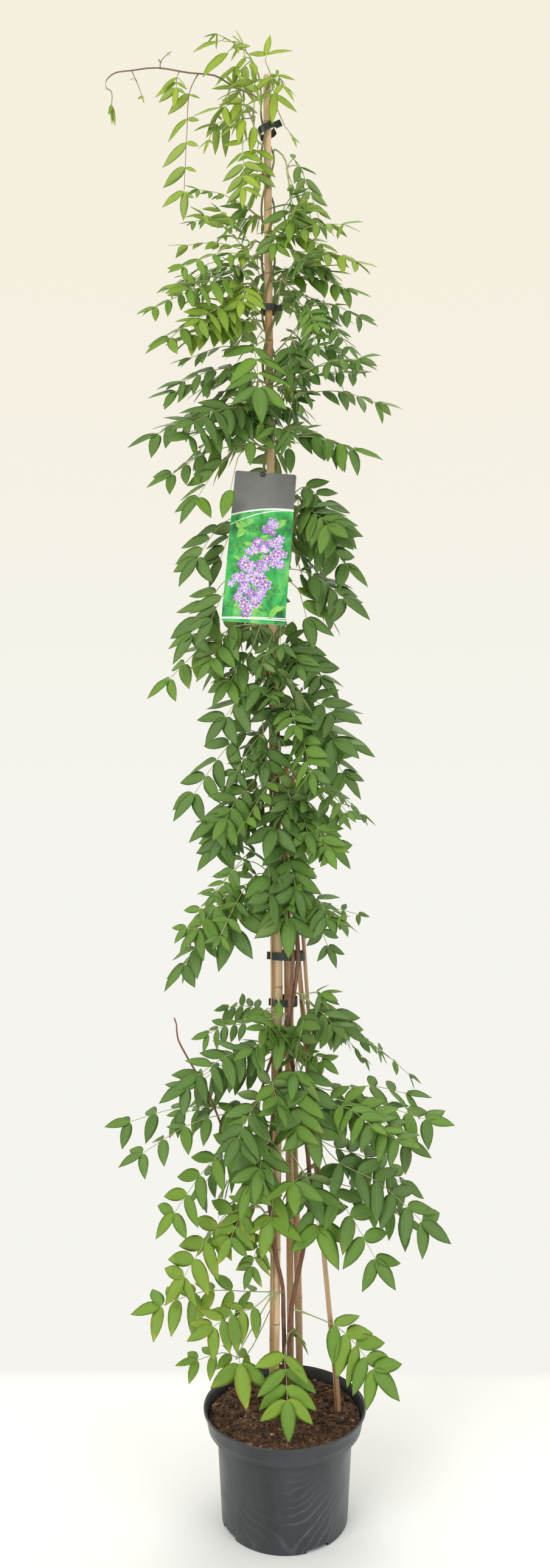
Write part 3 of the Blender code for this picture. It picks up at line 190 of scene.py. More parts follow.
# Leafy side shoots: name, colour, the stem's points x, z, near, and the leaves. A leaf is x, z
# where its blade begins, x, z of its tip, how near the tip comes, pairs of leaflets and a
# leaflet's length.
SHOOTS = (
    ("front_102", "dark", ((0, 104, 3.4), (0.3, 107, 5), (0.8, 113.5, 5)), (
        (0, 103.8, 0.8, 88.3, 10, 4, 5.8), (0, 114.8, -3.3, 104.6, 8, 3, 6.0),
        (2.5, 112.5, 5, 105, 6, 2, 5.4))),
    ("front_189", "lime", ((-3, 191, 1), (-4.0, 193, 4)), (
        (-5, 191, -3.7, 178.4, 12, 3, 7.0),)),
    ("low_front", "lime", ((0.6, 25.5, 0.6), (0.3, 27.5, 3)), (
        (0, 24.4, 0.8, 11.2, 11, 3, 5.2), (1.2, 28.5, 3.6, 26.3, -2, 1, 3.4))),
    ("low_left", "yellowing", ((-0.6, 34, 1.2), (-2.2, 34.5, 3.4)), (
        (-5.5, 33.5, -24.9, 31.5, 3, 4, 5.6), (-5, 32, -15.8, 27, 7, 3, 4.4),
        (-6, 24.4, -17.7, 23.3, 4, 2, 5.5), (-7.5, 24.8, -6, 16.4, 8, 1, 7.0))),
    ("low_right", "dark", ((1.2, 31.5, 1), (3, 31.3, 1.5)), (
        (8, 29.2, 18.5, 17.9, 2, 3, 6.0),)),
    ("bush_left_46", "yellowing", ((-2.2, 45, 3), (-4, 48, 4)), (
        (-8.5, 47, -19.4, 32.8, 3, 3, 5.0), (-6, 48.5, -10.8, 39, 6, 3, 4.6),
        (-3.8, 43, -6.5, 35, 3, 3, 3.4))),
    ("bush_front_50", "mid", ((3.9, 50, 2.8), (3.0, 53, 5)), (
        (3.2, 49.5, 8.7, 38.4, 6, 2, 6.6), (5.5, 52.7, 17.9, 35.1, 5, 3, 5.2),
        (1.2, 56, 1.7, 46.8, 10, 1, 6.5), (-1.5, 50.5, -3.6, 40, 6, 2, 6.5))),
    ("bush_right_55", "dark", ((3.6, 58, 2.6), (5.5, 59, 2.5)), (
        (9, 54.9, 26.9, 42.3, 4, 4, 5.4), (8, 52.3, 23.3, 43.7, -2, 3, 5.0))),
    ("bush_right_65", "mid", ((2.4, 66, 2.6), (4.5, 67.5, 3)), (
        (8, 66.5, 24.1, 65.8, -2, 3, 4.4), (7.5, 64.5, 27.8, 61.3, 3, 4, 5.4),
        (8, 63.5, 24, 56.2, 0, 3, 4.6))),
    ("bush_right_72", "mid", ((1.4, 70.5, 2.8), (2.5, 73, 5)), (
        (2.8, 69, 5.4, 54.3, 9, 3, 5.6), (4, 74.5, 9, 69.5, 5, 3, 4.4),
        (2, 72.5, 1, 65, 6, 2, 4.8))),
    ("bush_left_60", "dark", ((-2.4, 57, 2.8), (-3.6, 59, 4.5), (-4.4, 62.5, 5)), (
        (-8, 63, -29.4, 61, 0, 3, 4.8), (-8.5, 61.8, -27.1, 54.6, 4, 3, 5.2),
        (-4, 66.2, -9.8, 54.5, 10, 3, 6.0), (-8.5, 58.5, -21, 43.3, 5, 3, 5.2),
        (-3.2, 60, -4.8, 48.6, 8, 3, 5.6))),
    ("bush_left_70", "dark", ((-0.4, 71, 2.8), (-2, 73.5, 4)), (
        (-5, 72, -20.6, 65, 4, 3, 4.8), (-3.5, 75, -8.2, 71.5, 7, 2, 4.4),
        (-4.5, 70.5, -15.8, 64, -3, 3, 4.6))),
    ("bush_left_77", "mid", ((0.2, 77.5, 3.6), (-0.8, 79.5, 5)), (
        (-6.5, 77.3, -15.3, 74.8, 1, 3, 2.9), (0, 76.3, -1.5, 70.0, 8, 2, 5.0),
        (-2.5, 79.5, -6.9, 77.6, 3, 1, 4.2), (-1.3, 82.4, -0.7, 78.2, 6, 0, 4.0))),
    ("bush_right_79", "mid", ((1.8, 81, 3), (3.2, 82, 3.5)), (
        (5.5, 79.7, 13.4, 74.3, 3, 3, 4.6), (9.5, 76, 22.4, 67.7, -2, 3, 2.6),
        (4.9, 82.3, 9.1, 80.8, 1, 0, 4.2))),
    ("left_98", "dark", ((0.0, 99.5, 3.2), (-2, 101.5, 4.5)), (
        (-5.2, 101, -10.9, 86.3, 8, 3, 6.4), (-6, 105.5, -18.2, 90.6, 0, 3, 4.6),
        (-7.5, 97.5, -18.5, 84.3, -5, 3, 5.4))),
    ("right_98", "dark", ((1.4, 96.5, 3), (2.2, 98.5, 4)), (
        (2.8, 101, 8.7, 86.6, 4, 3, 5.4), (4.2, 95.2, 14.1, 94.9, 1, 2, 1.9),
        (3.5, 97.5, 12.2, 92.4, -3, 3, 4.4))),
    ("right_115", "mid", ((-0.5, 113.5, 3), (1, 116, 4)), (
        (1.8, 120, 11.2, 109.3, 6, 3, 5.6), (5, 117, 15.2, 109.9, -4, 3, 3.0),
        (3.5, 111.5, 10.9, 102.8, 1, 3, 4.4))),
    ("left_120", "dark", ((-0.8, 116, 3.2), (-2.6, 118, 4.5), (-3.4, 124.5, 4)), (
        (-4.5, 116, -15.8, 107.3, 5, 3, 5.6), (-6, 113, -14.3, 102.4, 0, 3, 5.0),
        (-2.8, 124, -3.5, 116, 5, 2, 4.5), (-6.5, 125.5, -18.3, 110.7, 3, 3, 5.2),
        (-3.8, 126.5, -9.8, 115.8, 0, 2, 5.2))),
    ("right_127", "dark", ((-1.0, 124, 3), (0.8, 127, 4)), (
        (2.2, 128.8, 15.1, 121.5, 4, 3, 6.0), (3.5, 126, 12.9, 114.6, 0, 3, 5.0),
        (0.5, 131.5, 3, 124, 7, 2, 4.6))),
    ("front_133", "dark", ((-1.4, 131.5, 2.6), (-1.8, 134.5, 4.5)), (
        (-1.5, 133.5, -1.8, 124.6, 8, 3, 5.2), (-0.5, 142.8, -0.8, 137.3, 7, 1, 4.4),
        (-6.2, 132, -13.4, 123.6, 5, 3, 5.4), (-3.2, 135.2, -6.4, 129, 6, 1, 5.6))),
    ("right_138", "dark", ((-1, 137, 1.4), (0.6, 139.5, 3)), (
        (1.5, 141, 9.1, 131, 5, 3, 5.2),)),
    ("left_141", "mid", ((-2.2, 141, 1), (-4, 143.5, 2.5)), (
        (-8, 143, -22.9, 131.2, -1, 3, 4.6), (-8.5, 143, -14.5, 134, 6, 3, 4.6),
        (-6, 138, -12, 129.8, 3, 3, 4.8))),
    ("left_149", "dark", ((-2.2, 149, 1), (-4.5, 151, 2)), (
        (-9.5, 151, -18.4, 137, 4, 3, 5.4), (-8.5, 150.5, -14.6, 140, 7, 3, 5.2),
        (-5.5, 143.8, -4.8, 138.8, 2, 1, 5.2))),
    ("right_155", "dark", ((-1.2, 150, 1), (0.8, 153, 1.5), (1.4, 160, 1.5), (1.6, 166, 1.5)), (
        (3.8, 167.3, 12.1, 156.5, 2, 3, 4.8), (3, 160.2, 14.1, 150.2, 0, 3, 5.2),
        (2.8, 152.5, 14.5, 144.7, 4, 3, 5.4), (2.2, 149.5, 5.2, 139.6, 7, 3, 5.4))),
    ("left_160", "dark", ((-2.8, 160, 1), (-5.5, 163, 1.5)), (
        (-9.8, 161, -17.9, 150.3, 4, 3, 5.2), (-8.5, 160, -12.6, 150, 0, 2, 4.8))),
    ("left_171", "mid", ((-2.9, 172, 1), (-5.5, 174.5, 3)), (
        (-8.5, 174, -23.3, 167, 0, 3, 4.8), (-8.5, 173, -17.8, 161, 5, 3, 5.2),
        (-7.5, 172.5, -10.2, 162, 11, 2, 5.4))),
    ("right_175", "dark", ((-1.6, 172.5, 1), (0.5, 175, 2)), (
        (2.5, 176, 16.8, 172, 3, 3, 5.2), (-2.5, 179.5, -0.4, 174.5, 4, 1, 5.0),
        (0.6, 174.5, 1.3, 169.6, 5, 0, 4.8))),
    ("left_178", "dark", ((-3, 178, 1), (-5, 180, 3)), (
        (-7, 181, -26.6, 174, 2, 4, 5.4), (-5.5, 178.5, -5.8, 171, 8, 2, 4.6))),
    ("left_184", "dark", ((-3, 184, 1), (-5, 186, 2)), (
        (-6.5, 187, -21.8, 184.1, -1, 3, 5.2), (-6, 185.2, -23.2, 182.5, 3, 3, 5.4),
        (-6, 180.5, -12, 175, 7, 2, 5.0))),
    ("right_182", "dark", ((-1.8, 182, 1), (0.5, 184, 2)), (
        (3.5, 182.6, 20.2, 180.8, 3, 3, 5.2), (-1, 182.3, 5, 177.5, 1, 2, 4.6))),
    ("right_192", "dark", ((-1.8, 189.5, 1), (0.2, 192, 1.5), (3.5, 196.5, 1.5)), (
        (5, 198.2, 8.6, 193.5, 0, 2, 4.6), (6.5, 197.4, 12.7, 189, 2, 3, 3.4),
        (3, 191.2, 16, 187.5, 2, 3, 5.0), (0.8, 190.8, 1.2, 184, 5, 2, 4.5))),
    ("right_202", "dark", ((-2, 201.5, 1), (0, 203, 1.5)), (
        (0, 205, 11.5, 204.4, -2, 3, 5.0), (2, 203.3, 15, 200.2, 2, 3, 5.2),
        (4.5, 199.3, 16.1, 195.2, 3, 3, 3.6), (-1, 198.8, 3.4, 198.3, 1, 0, 4.0))),
    ("left_194", "mid", ((-3.3, 193, 1), (-5, 195.5, 2)), (
        (-9.5, 198.3, -23.7, 190.3, 4, 3, 4.6), (-7, 195, -20.3, 191.8, 1, 3, 5.2),
        (-6, 190, -19.6, 188.5, 3, 3, 5.0))),
    ("left_200", "lime", ((-3.3, 200, 1), (-5, 202, 3)), (
        (-7.5, 202.3, -25.3, 197.2, 6, 5, 3.4), (-6, 199.3, -14.5, 197.3, 3, 3, 4.6),
        (-6.3, 203.5, -7.8, 196.5, 7, 2, 4.6))),
    ("left_204", "dark", ((-3.3, 206, 1), (-5, 207.5, 0.5)), (
        (-8, 205.5, -18.6, 202.4, -3, 3, 3.2), (-8, 203.8, -21, 201.2, 0, 3, 4.4))),
    ("left_209", "lime", ((-3.3, 209, 1), (-5, 210, 3)), (
        (-6.5, 208.2, -20.2, 209.3, 4, 3, 4.6), (-6.5, 205.8, -20, 204.5, 9, 3, 4.2))),
    ("left_215", "dark", ((-3.5, 213, 1), (-5, 214.5, 0.5)), (
        (-6, 215.3, -11.2, 216.4, 0, 1, 4.8), (-7, 213.6, -18, 213.1, 1, 3, 3.0))),
    ("right_209", "lime", ((-2, 208, 1), (0, 210.5, 2.5)), (
        (2, 208, 16.2, 205.5, 4, 3, 4.6), (2.5, 209.8, 9.4, 208.0, 1, 2, 4.0),
        (-1.5, 211.5, -2.2, 206.3, 5, 2, 3.8))),
    ("shoot_right", "mid", ((-1.6, 229, 1), (0.3, 224, 2), (1.0, 218, 2.5), (1.2, 213.5, 3)), (
        (2.5, 223, 7.3, 210.3, 1.5, 3, 3.6), (2.0, 215.2, 7.6, 215.4, 3, 0, 5.0),
        (0.8, 216, 1.2, 209.8, 5, 2, 4.8), (3, 213.8, 7, 212.8, 2, 1, 3.8))),
    ("left_231", "lime", ((-3.6, 225.5, 1), (-5, 228.5, 2.2), (-5.4, 233.5, 2.2)), (
        (-7.5, 234.3, -16, 232.5, 3, 2, 5.8), (-6.5, 233, -8, 227.6, 6, 2, 5.2),
        (-8, 231.5, -15.8, 229.8, -2, 2, 4.5), (-5, 232, -5.5, 225.8, 4, 2, 5.0),
        (-7, 227.5, -7, 215.8, 4, 3, 3.6), (-4.6, 226, -4.7, 217.5, -1, 2, 4.4))),
    ("crown", "lime", ((-2.4, 234.5, 1.2), (-1.9, 237, 1.5), (-2.2, 239.5, 1.5)), (
        (-3.2, 242, -2.6, 247.2, 1, 1, 5.0), (-0.8, 238.5, 1.9, 235, 1.5, 1, 3.4),
        (-1.5, 238.8, -7.3, 238.2, 3, 0, 5.6), (-1.8, 237.6, -1.8, 231.2, 4, 1, 5.4),
        (0, 230.6, 2.3, 226.6, 1, 2, 1.9))),
    ("shoot_top", "lime", ((-3.8, 234.5, 1), (-4.4, 239.5, 1.5), (-6.0, 243, 1.5), (-8, 245, 1.5),
                           (-11.8, 247, 1.5)), (
        (-10.6, 245.8, -15, 244.3, 2, 0, 4.4), (-9, 244.3, -13.3, 240.4, 3, 0, 5.6),
        (-6.6, 242.4, -11.2, 238.4, 0, 2, 3.6), (-5.8, 242.2, -5.0, 240.0, 3, 0, 2.7))),
    ("shoot_arch", "mid", ((-4.0, 233.6, 0.4), (-5.2, 235.8, 0), (-8.9, 237.5, 0), (-12, 239.4, 0),
                           (-16.5, 239.9, 0), (-22, 240.8, 0), (-26.5, 240.3, 0), (-29.2, 239.9, 0),
                           (-30.7, 238.6, 0), (-30.8, 237.2, 0), (-29.8, 236.4, 0),
                           (-29.8, 233.8, 0)), (
        (-16.4, 236, -17.4, 213.8, 1, 5, 4.6), (-18.5, 239, -18.9, 233.8, 1, 3, 4.2),
        (-9.7, 234.8, -13.9, 225.4, 1, 3, 3.4), (-21.4, 241.8, -19.5, 243.9, 0, 2, 1.0),
        (-25.8, 238.9, -24.1, 234.4, 0, 2, 1.2))),
)


def place(x, z, near=0.0):
    """The point seen at x, z in the plane of the canes, brought toward EYE; all in cm."""
    spot = Vector((x, 0, z)) * CM
    return spot + (EYE - spot) * (near * CM / -EYE.y)


def curve_through(points, steps):
    """Points of the smooth curve through the given ones, with so many steps in each stretch."""
    found = []
    last = len(points) - 1
    for i in range(last):
        a = points[max(i - 1, 0)]
        b = points[i]
        c = points[i + 1]
        d = points[min(i + 2, last)]
        for step in range(steps):
            t = step / steps
            found.append(0.5 * (2 * b + (c - a) * t + (2 * a - 5 * b + 4 * c - d) * t ** 2
                                + (3 * b - a - 3 * c + d) * t ** 3))
    found.append(points[-1].copy())
    return found


def point_at_height(path, height):
    """Where a rising path crosses this height."""
    for a, b in zip(path, path[1:]):
        if a.z <= height <= b.z:
            return a.lerp(b, (height - a.z) / (b.z - a.z))
    return None


def cane_axis(name):
    """The smooth axis of a cane, as points a few centimetres apart."""
    radius, spots = CANES[name]
    points = [Vector(spot) * CM for spot in spots]
    return radius, curve_through(points, 8)


def clear_of_canes(path, radii, axes, margin=0.0016):
    """Pushes a path's points off the canes, each to the side that it is already on."""
    for index, point in enumerate(path):
        for cane_radius, axis in axes:
            centre = point_at_height(axis, point.z)
            if centre is None:
                continue
            reach = cane_radius + radii[index] + margin
            away = Vector((point.x - centre.x, point.y - centre.y, 0))
            if away.length < reach:
                if away.length < 0.0005:
                    away = VIEW.copy()
                point += away.normalized() * (reach - away.length)
    return path


def wind_point(height, phase, axis, radius):
    """A point of a stem that winds round the tall cane."""
    centre = point_at_height(axis, min(height, axis[-1].z - 0.001))
    turn = phase + 2 * math.pi * (height - WOOD_TOP) / WIND_PITCH
    return Vector((centre.x + radius * math.cos(turn), centre.y + radius * math.sin(turn), height))


def strand_path(spots, phase, axes):
    """The smooth path of a twining stem: its own points, then its turns round the tall cane."""
    points = [place(*spot) for spot in spots]
    free = len(points)
    cane_radius, axis = axes[0]
    reach = cane_radius + 0.0026 + 0.0016
    count = round((WIND_TOP - WOOD_TOP + 0.02) / WIND_PITCH * WIND_STEPS)
    for step in range(count + 1):
        height = WOOD_TOP - 0.02 + (WIND_TOP - WOOD_TOP + 0.02) * step / count
        points.append(wind_point(height, phase, axis, reach))
    lower = curve_through(points[:free + 2], 2)[:free * 2]
    return lower + points[free:]


def radii_along(path, start, end):
    """Radii that shrink evenly along a path."""
    last = len(path) - 1
    return [start + (end - start) * i / last for i in range(last + 1)]


def split_at(path, height):
    """The part of a rising path below a height and the part above it, with a fine gap between."""
    for index, point in enumerate(path):
        if point.z > height and index > 3:
            below = path[:index]
            above = path[index:]
            a = below[-1]
            cut = a.lerp(point, (height - a.z) / (point.z - a.z))
            ahead = (point - a).normalized()
            below = [p for p in below if (p - cut).length > 0.004]
            above = [p for p in above if (p - cut).length > 0.004]
            return below + [cut - ahead * GAP], [cut + ahead * GAP] + above
    return path, []


def boxy(part):
    """Turns a circle's sine or cosine into that of a square with round corners."""
    return math.copysign(abs(part) ** STRAP_ROUND, part)


def card_frame():
    """The centre of the card and its unit directions: across, up and out of its front."""
    top_left, top_right, low_right, low_left = [place(*spot) for spot in CARD_CORNERS]
    across = (top_right - top_left + low_right - low_left).normalized()
    rise = top_left + top_right - low_left - low_right
    rise = (rise - across * rise.dot(across)).normalized()
    centre = (top_left + top_right + low_left + low_right) / 4
    return centre, across, rise, across.cross(rise)


def peg_point(centre, out):
    """Where the peg passes through the middle of the card."""
    peg = place(*PEG_PLACE)
    return peg - out * (peg - centre).dot(out)


def leaf_path(start, base, tip, length):
    """The arched line of a leaf's stalk and rib, from its root to where its end leaflet begins."""
    end = tip - (tip - base).normalized() * min(length, (tip - base).length * 0.8)
    middle = (base + end) / 2 + UP * RIB_ARCH * (end - base).length
    return curve_through([start, base, middle, end], PATH_STEPS)


def measure(path):
    """Length of a path from its start to each of its points."""
    lengths = [0.0]
    for a, b in zip(path, path[1:]):
        lengths.append(lengths[-1] + (b - a).length)
    return lengths


def walk(path, lengths, distance):
    """The point of a path at this distance from its start, and the direction there."""
    for index in range(1, len(path)):
        if distance <= lengths[index] or index == len(path) - 1:
            part = (distance - lengths[index - 1]) / (lengths[index] - lengths[index - 1])
            ahead = (path[index] - path[index - 1]).normalized()
            return path[index - 1].lerp(path[index], part), ahead
    return path[-1], UP


def leaf_normal(start, tip, near):
    """Which way a leaf's upper face looks: up, outward and, in front, toward EYE."""
    out = Vector((tip.x - start.x, tip.y - start.y, 0))
    if out.length > 0:
        out.normalize()
    if near < -1.5:
        return (UP * 0.7 + out * 0.3 + VIEW * 0.35).normalized()
    return (UP * 0.5 + out * 0.3 + VIEW * 0.75).normalized()


def leaf_plan(shoot_index, leaf_index, attempt, leaf):
    """The sizes and places of one leaf. Each attempt moves it a little along the line of sight."""
    base_x, base_z, tip_x, tip_z, near, pairs, length = leaf
    draw = random.Random(SEED + 10000 * shoot_index + 100 * leaf_index + attempt)
    reach = FIRST_MOVE + NEXT_MOVE * attempt
    shift = draw.uniform(-reach, reach) if attempt else 0.0
    lift = draw.uniform(-0.004, 0.004) * reach if attempt else 0.0
    tilt = draw.uniform(-0.1, 0.1) * reach if attempt else 0.0
    scale = 1.0 - SHRINK * (attempt // SHRINK_AFTER)
    root_near = 2.0 + 0.4 * (near + shift - 2.0)
    base = place(base_x, base_z, root_near)
    tip = place(tip_x, tip_z, near + shift)
    base.z += lift
    return base, tip, pairs, length * CM * scale, tilt


def rib_frames(path, lengths, distances, normal):
    """Centre, direction, side and top at each of these distances, turned as little as can be."""
    found = []
    for distance in reversed(distances):
        centre, ahead = walk(path, lengths, distance)
        if found:
            _, later, side, _ = found[-1]
            side = later.rotation_difference(ahead) @ side
        else:
            side = ahead.cross(normal).normalized()
        found.append((centre, ahead, side, side.cross(ahead)))
    return found[::-1]


def seat_stem(spots, slide, vine_trees):
    """A side shoot's path, which starts a fine gap off the nearest stem of the vine."""
    points = [place(x, z + slide, near) if i < 1 else place(x, z, near)
              for i, (x, z, near) in enumerate(spots)]
    guide = points[0] + (points[1] - points[0]).normalized() * 0.018
    best = None
    for tree in vine_trees:
        spot, normal, _, distance = tree.find_nearest(guide)
        if best is None or distance < best[2]:
            best = (spot, normal, distance)
    seat, normal, _ = best
    out = (guide - seat).normalized()
    root = seat + normal * GAP * 1.3
    points = [root, root + (normal + out).normalized() * 0.006] + points[1:]
    return curve_through(points, 2 if len(points) < 5 else 1)


def nearest_on(path, target):
    """The point of a path, short of its ends, that is nearest to a target."""
    lengths = measure(path)
    first = min(0.008, lengths[-1] * 0.5)
    last = lengths[-1] - 0.002
    inner = [walk(path, lengths, first + (last - first) * i / 20)[0] for i in range(21)]
    return min(inner, key=lambda point: (point - target).length)


def slides():
    """Small moves of a side shoot's seat up and down the vine, nearest first."""
    found = [0.0]
    for step in range(1, 12):
        found.extend((step * 0.7, -step * 0.7))
    return found


class PotSettings(bpy.types.PropertyGroup):
    """What a user would change on the container and its peat."""
    plastic: FloatVectorProperty(name="Plastic", description="Colour of the container", size=3,
                                 subtype="COLOR", default=(0.020, 0.024, 0.028))
    gloss: FloatProperty(name="Roughness", description="Roughness of the container", default=0.31)
    peat: FloatVectorProperty(name="Peat", description="Colour of the moist peat", size=3,
                              subtype="COLOR", default=(0.105, 0.058, 0.034))
    segments: IntProperty(name="Segments", description="Faces round the container", default=96)
    lump: FloatProperty(name="Lumps", description="Height of the lumps in the peat", default=0.0034,
                        unit="LENGTH")
    crumbs: IntProperty(name="Crumbs", description="Loose crumbs on the peat", default=1300)
    fibres: IntProperty(name="Fibres", description="Loose fibres on the peat", default=420)


class StemSettings(bpy.types.PropertyGroup):
    """What a user would change on the canes and the twining stems."""
    bamboo: FloatVectorProperty(name="Bamboo", description="Colour of the canes", size=3,
                                subtype="COLOR", default=(0.66, 0.45, 0.25))
    bark: FloatVectorProperty(name="Bark", description="Colour of the old stems", size=3,
                              subtype="COLOR", default=(0.17, 0.075, 0.040))
    green: FloatVectorProperty(name="Green stem", description="Colour of the young stems", size=3,
                               subtype="COLOR", default=(0.22, 0.24, 0.075))
    sides: IntProperty(name="Sides", description="Faces round a cane", default=20)


class LeafSettings(bpy.types.PropertyGroup):
    """What a user would change on the leaves."""
    old: FloatVectorProperty(name="Old leaf", description="Colour of the oldest leaves", size=3,
                             subtype="COLOR", default=(0.140, 0.270, 0.060))
    grown: FloatVectorProperty(name="Grown leaf", description="Colour of the grown leaves", size=3,
                               subtype="COLOR", default=(0.195, 0.372, 0.046))
    young: FloatVectorProperty(name="Young leaf", description="Colour of the youngest leaves",
                               size=3, subtype="COLOR", default=(0.42, 0.57, 0.055))
    faded: FloatVectorProperty(name="Faded leaf", description="Colour of fading tips", size=3,
                               subtype="COLOR", default=(0.74, 0.58, 0.07))
    stalk: FloatVectorProperty(name="Stalk", description="Colour of the ribs and stalks", size=3,
                               subtype="COLOR", default=(0.36, 0.43, 0.17))
    thickness: FloatProperty(name="Thickness", description="Thickness of a blade at its middle",
                             default=0.0005, unit="LENGTH")
    width: FloatProperty(name="Width", description="A leaflet's width as a part of its length",
                         default=0.45)
    longer: FloatProperty(name="Length", description="A leaflet's length against the packed one",
                          default=1.18)
    fold: FloatProperty(name="Fold", description="How far a blade folds up from its midrib",
                        default=0.20)
    spacing: FloatProperty(name="Spacing",
                           description="Space of two pairs as a part of their length",
                           default=0.43)
    fullness: FloatProperty(name="Fullness", description="Further leaves for each packed leaf",
                            default=1.5)


class TrimSettings(bpy.types.PropertyGroup):
    """What a user would change on the straps, the tie and the card."""
    strap: FloatVectorProperty(name="Strap", description="Colour of the plastic straps", size=3,
                               subtype="COLOR", default=(0.022, 0.030, 0.024))
    tie: FloatVectorProperty(name="Tie", description="Colour of the tie", size=3, subtype="COLOR",
                             default=(0.01, 0.30, 0.25))
    header: FloatVectorProperty(name="Header", description="Colour of the card's header", size=3,
                                subtype="COLOR", default=(0.13, 0.13, 0.125))
    field: FloatVectorProperty(name="Field", description="Colour of the card's field", size=3,
                               subtype="COLOR", default=(0.035, 0.40, 0.08))
    flowers: IntProperty(name="Flowers", description="Flowers drawn on the card", default=84)


class StageSettings(bpy.types.PropertyGroup):
    """What a user would change on the light, the floor and the camera."""
    key: FloatProperty(name="Key", description="Power of the main light", default=84.0)
    fill: FloatProperty(name="Fill", description="Power of the fill light", default=34.0)
    wall: FloatVectorProperty(name="Backdrop", description="Colour behind the pot", size=3,
                              subtype="COLOR", default=(0.913, 0.905, 0.858))
    high: FloatVectorProperty(name="High backdrop", description="Colour behind the plant's top",
                              size=3, subtype="COLOR", default=(0.915, 0.866, 0.740))
    room: FloatVectorProperty(name="Room", description="Colour of the room behind the camera",
                              size=3, subtype="COLOR", default=(0.54, 0.54, 0.54))
    floor: FloatVectorProperty(name="Floor", description="Colour of the floor", size=3,
                               subtype="COLOR", default=(0.86, 0.88, 0.91))
    lens: FloatProperty(name="Lens", description="Focal length in millimetres", default=24.0)
    pitch: FloatProperty(name="Pitch", description="How far the camera looks up", subtype="ANGLE",
                         default=math.radians(3.4))


# Materials.


def new_material(name):
    """A fresh material with its tree, links and Principled shader."""
    made = bpy.data.materials.new(name)
    made.use_nodes = True
    tree = made.node_tree
    return made, tree, tree.nodes["Principled BSDF"]


def give(tree, socket, value):
    """Links a value from another node to a socket, or sets a plain one on it."""
    if isinstance(value, bpy.types.NodeSocket):
        tree.links.new(value, socket)
    else:
        socket.default_value = value


def add_node(tree, kind, inputs=(), **settings):
    """A node with its settings and with values or links for its inputs."""
    made = tree.nodes.new("ShaderNode" + kind)
    for key, value in settings.items():
        setattr(made, key, value)
    for key, value in dict(inputs).items():
        give(tree, made.inputs[key], value)
    return made


def parts_of(tree, vector):
    """The x, y and z of a place."""
    return add_node(tree, "SeparateXYZ", {"Vector": vector}).outputs


def map_place(tree, name):
    """The place on one of a piece's UV maps."""
    return parts_of(tree, add_node(tree, "UVMap", uv_map=name).outputs["UV"])


def noise_at(tree, scale, stretch=(1, 1, 1), detail=4.0, roughness=0.55):
    """The strength of a noise on Object coordinates, stretched along an axis."""
    mapped = add_node(tree, "Mapping", {"Vector": object_place(tree), "Scale": stretch})
    made = add_node(tree, "TexNoise", {"Vector": mapped.outputs["Vector"], "Scale": scale,
                                       "Detail": detail, "Roughness": roughness})
    return made.outputs["Fac"]


def ramp(tree, strength, stops):
    """A colour from a strength, by stops of place and colour."""
    made = add_node(tree, "ValToRGB", {"Fac": strength})
    bar = made.color_ramp
    while len(bar.elements) < len(stops):
        bar.elements.new(0.5)
    for element, (spot, colour) in zip(bar.elements, stops):
        element.position = spot
        element.color = (*colour, 1)
    return made.outputs["Color"]


def span(tree, value, low, high, start=0.0, end=1.0):
    """A value carried from one range to another and held inside it."""
    made = add_node(tree, "MapRange", {"Value": value, "From Min": low, "From Max": high,
                                       "To Min": start, "To Max": end})
    return made.outputs["Result"]


def sum_of(tree, operation, first, second=0.0):
    """The result of a piece of arithmetic."""
    made = tree.nodes.new("ShaderNodeMath")
    made.operation = operation
    for socket, value in zip(made.inputs, (first, second)):
        give(tree, socket, value)
    return made.outputs["Value"]


def blend(tree, strength, first, second, mode="MIX"):
    """Two colours mixed by a strength."""
    made = add_node(tree, "Mix", data_type="RGBA", blend_type=mode)
    give(tree, made.inputs[0], strength)
    for key, colour in ((6, first), (7, second)):
        linked = isinstance(colour, bpy.types.NodeSocket)
        give(tree, made.inputs[key], colour if linked else (*colour, 1))
    return made.outputs[2]


def finished(kit, colour, rough, strength, distance, height):
    """A material with this colour and roughness, and a bump of this height in metres."""
    made, tree, shader = kit
    tree.links.new(colour, shader.inputs["Base Color"])
    give(tree, shader.inputs["Roughness"], rough)
    bump = add_node(tree, "Bump", {"Strength": strength, "Distance": distance, "Height": height})
    tree.links.new(bump.outputs["Normal"], shader.inputs["Normal"])
    return made


def scaled(colour, factor):
    """A colour made lighter or darker."""
    return tuple(min(part * factor, 1.0) for part in colour)


def object_place(tree):
    """The place on a piece, from which the patterns are made."""
    return add_node(tree, "TexCoord").outputs["Object"]


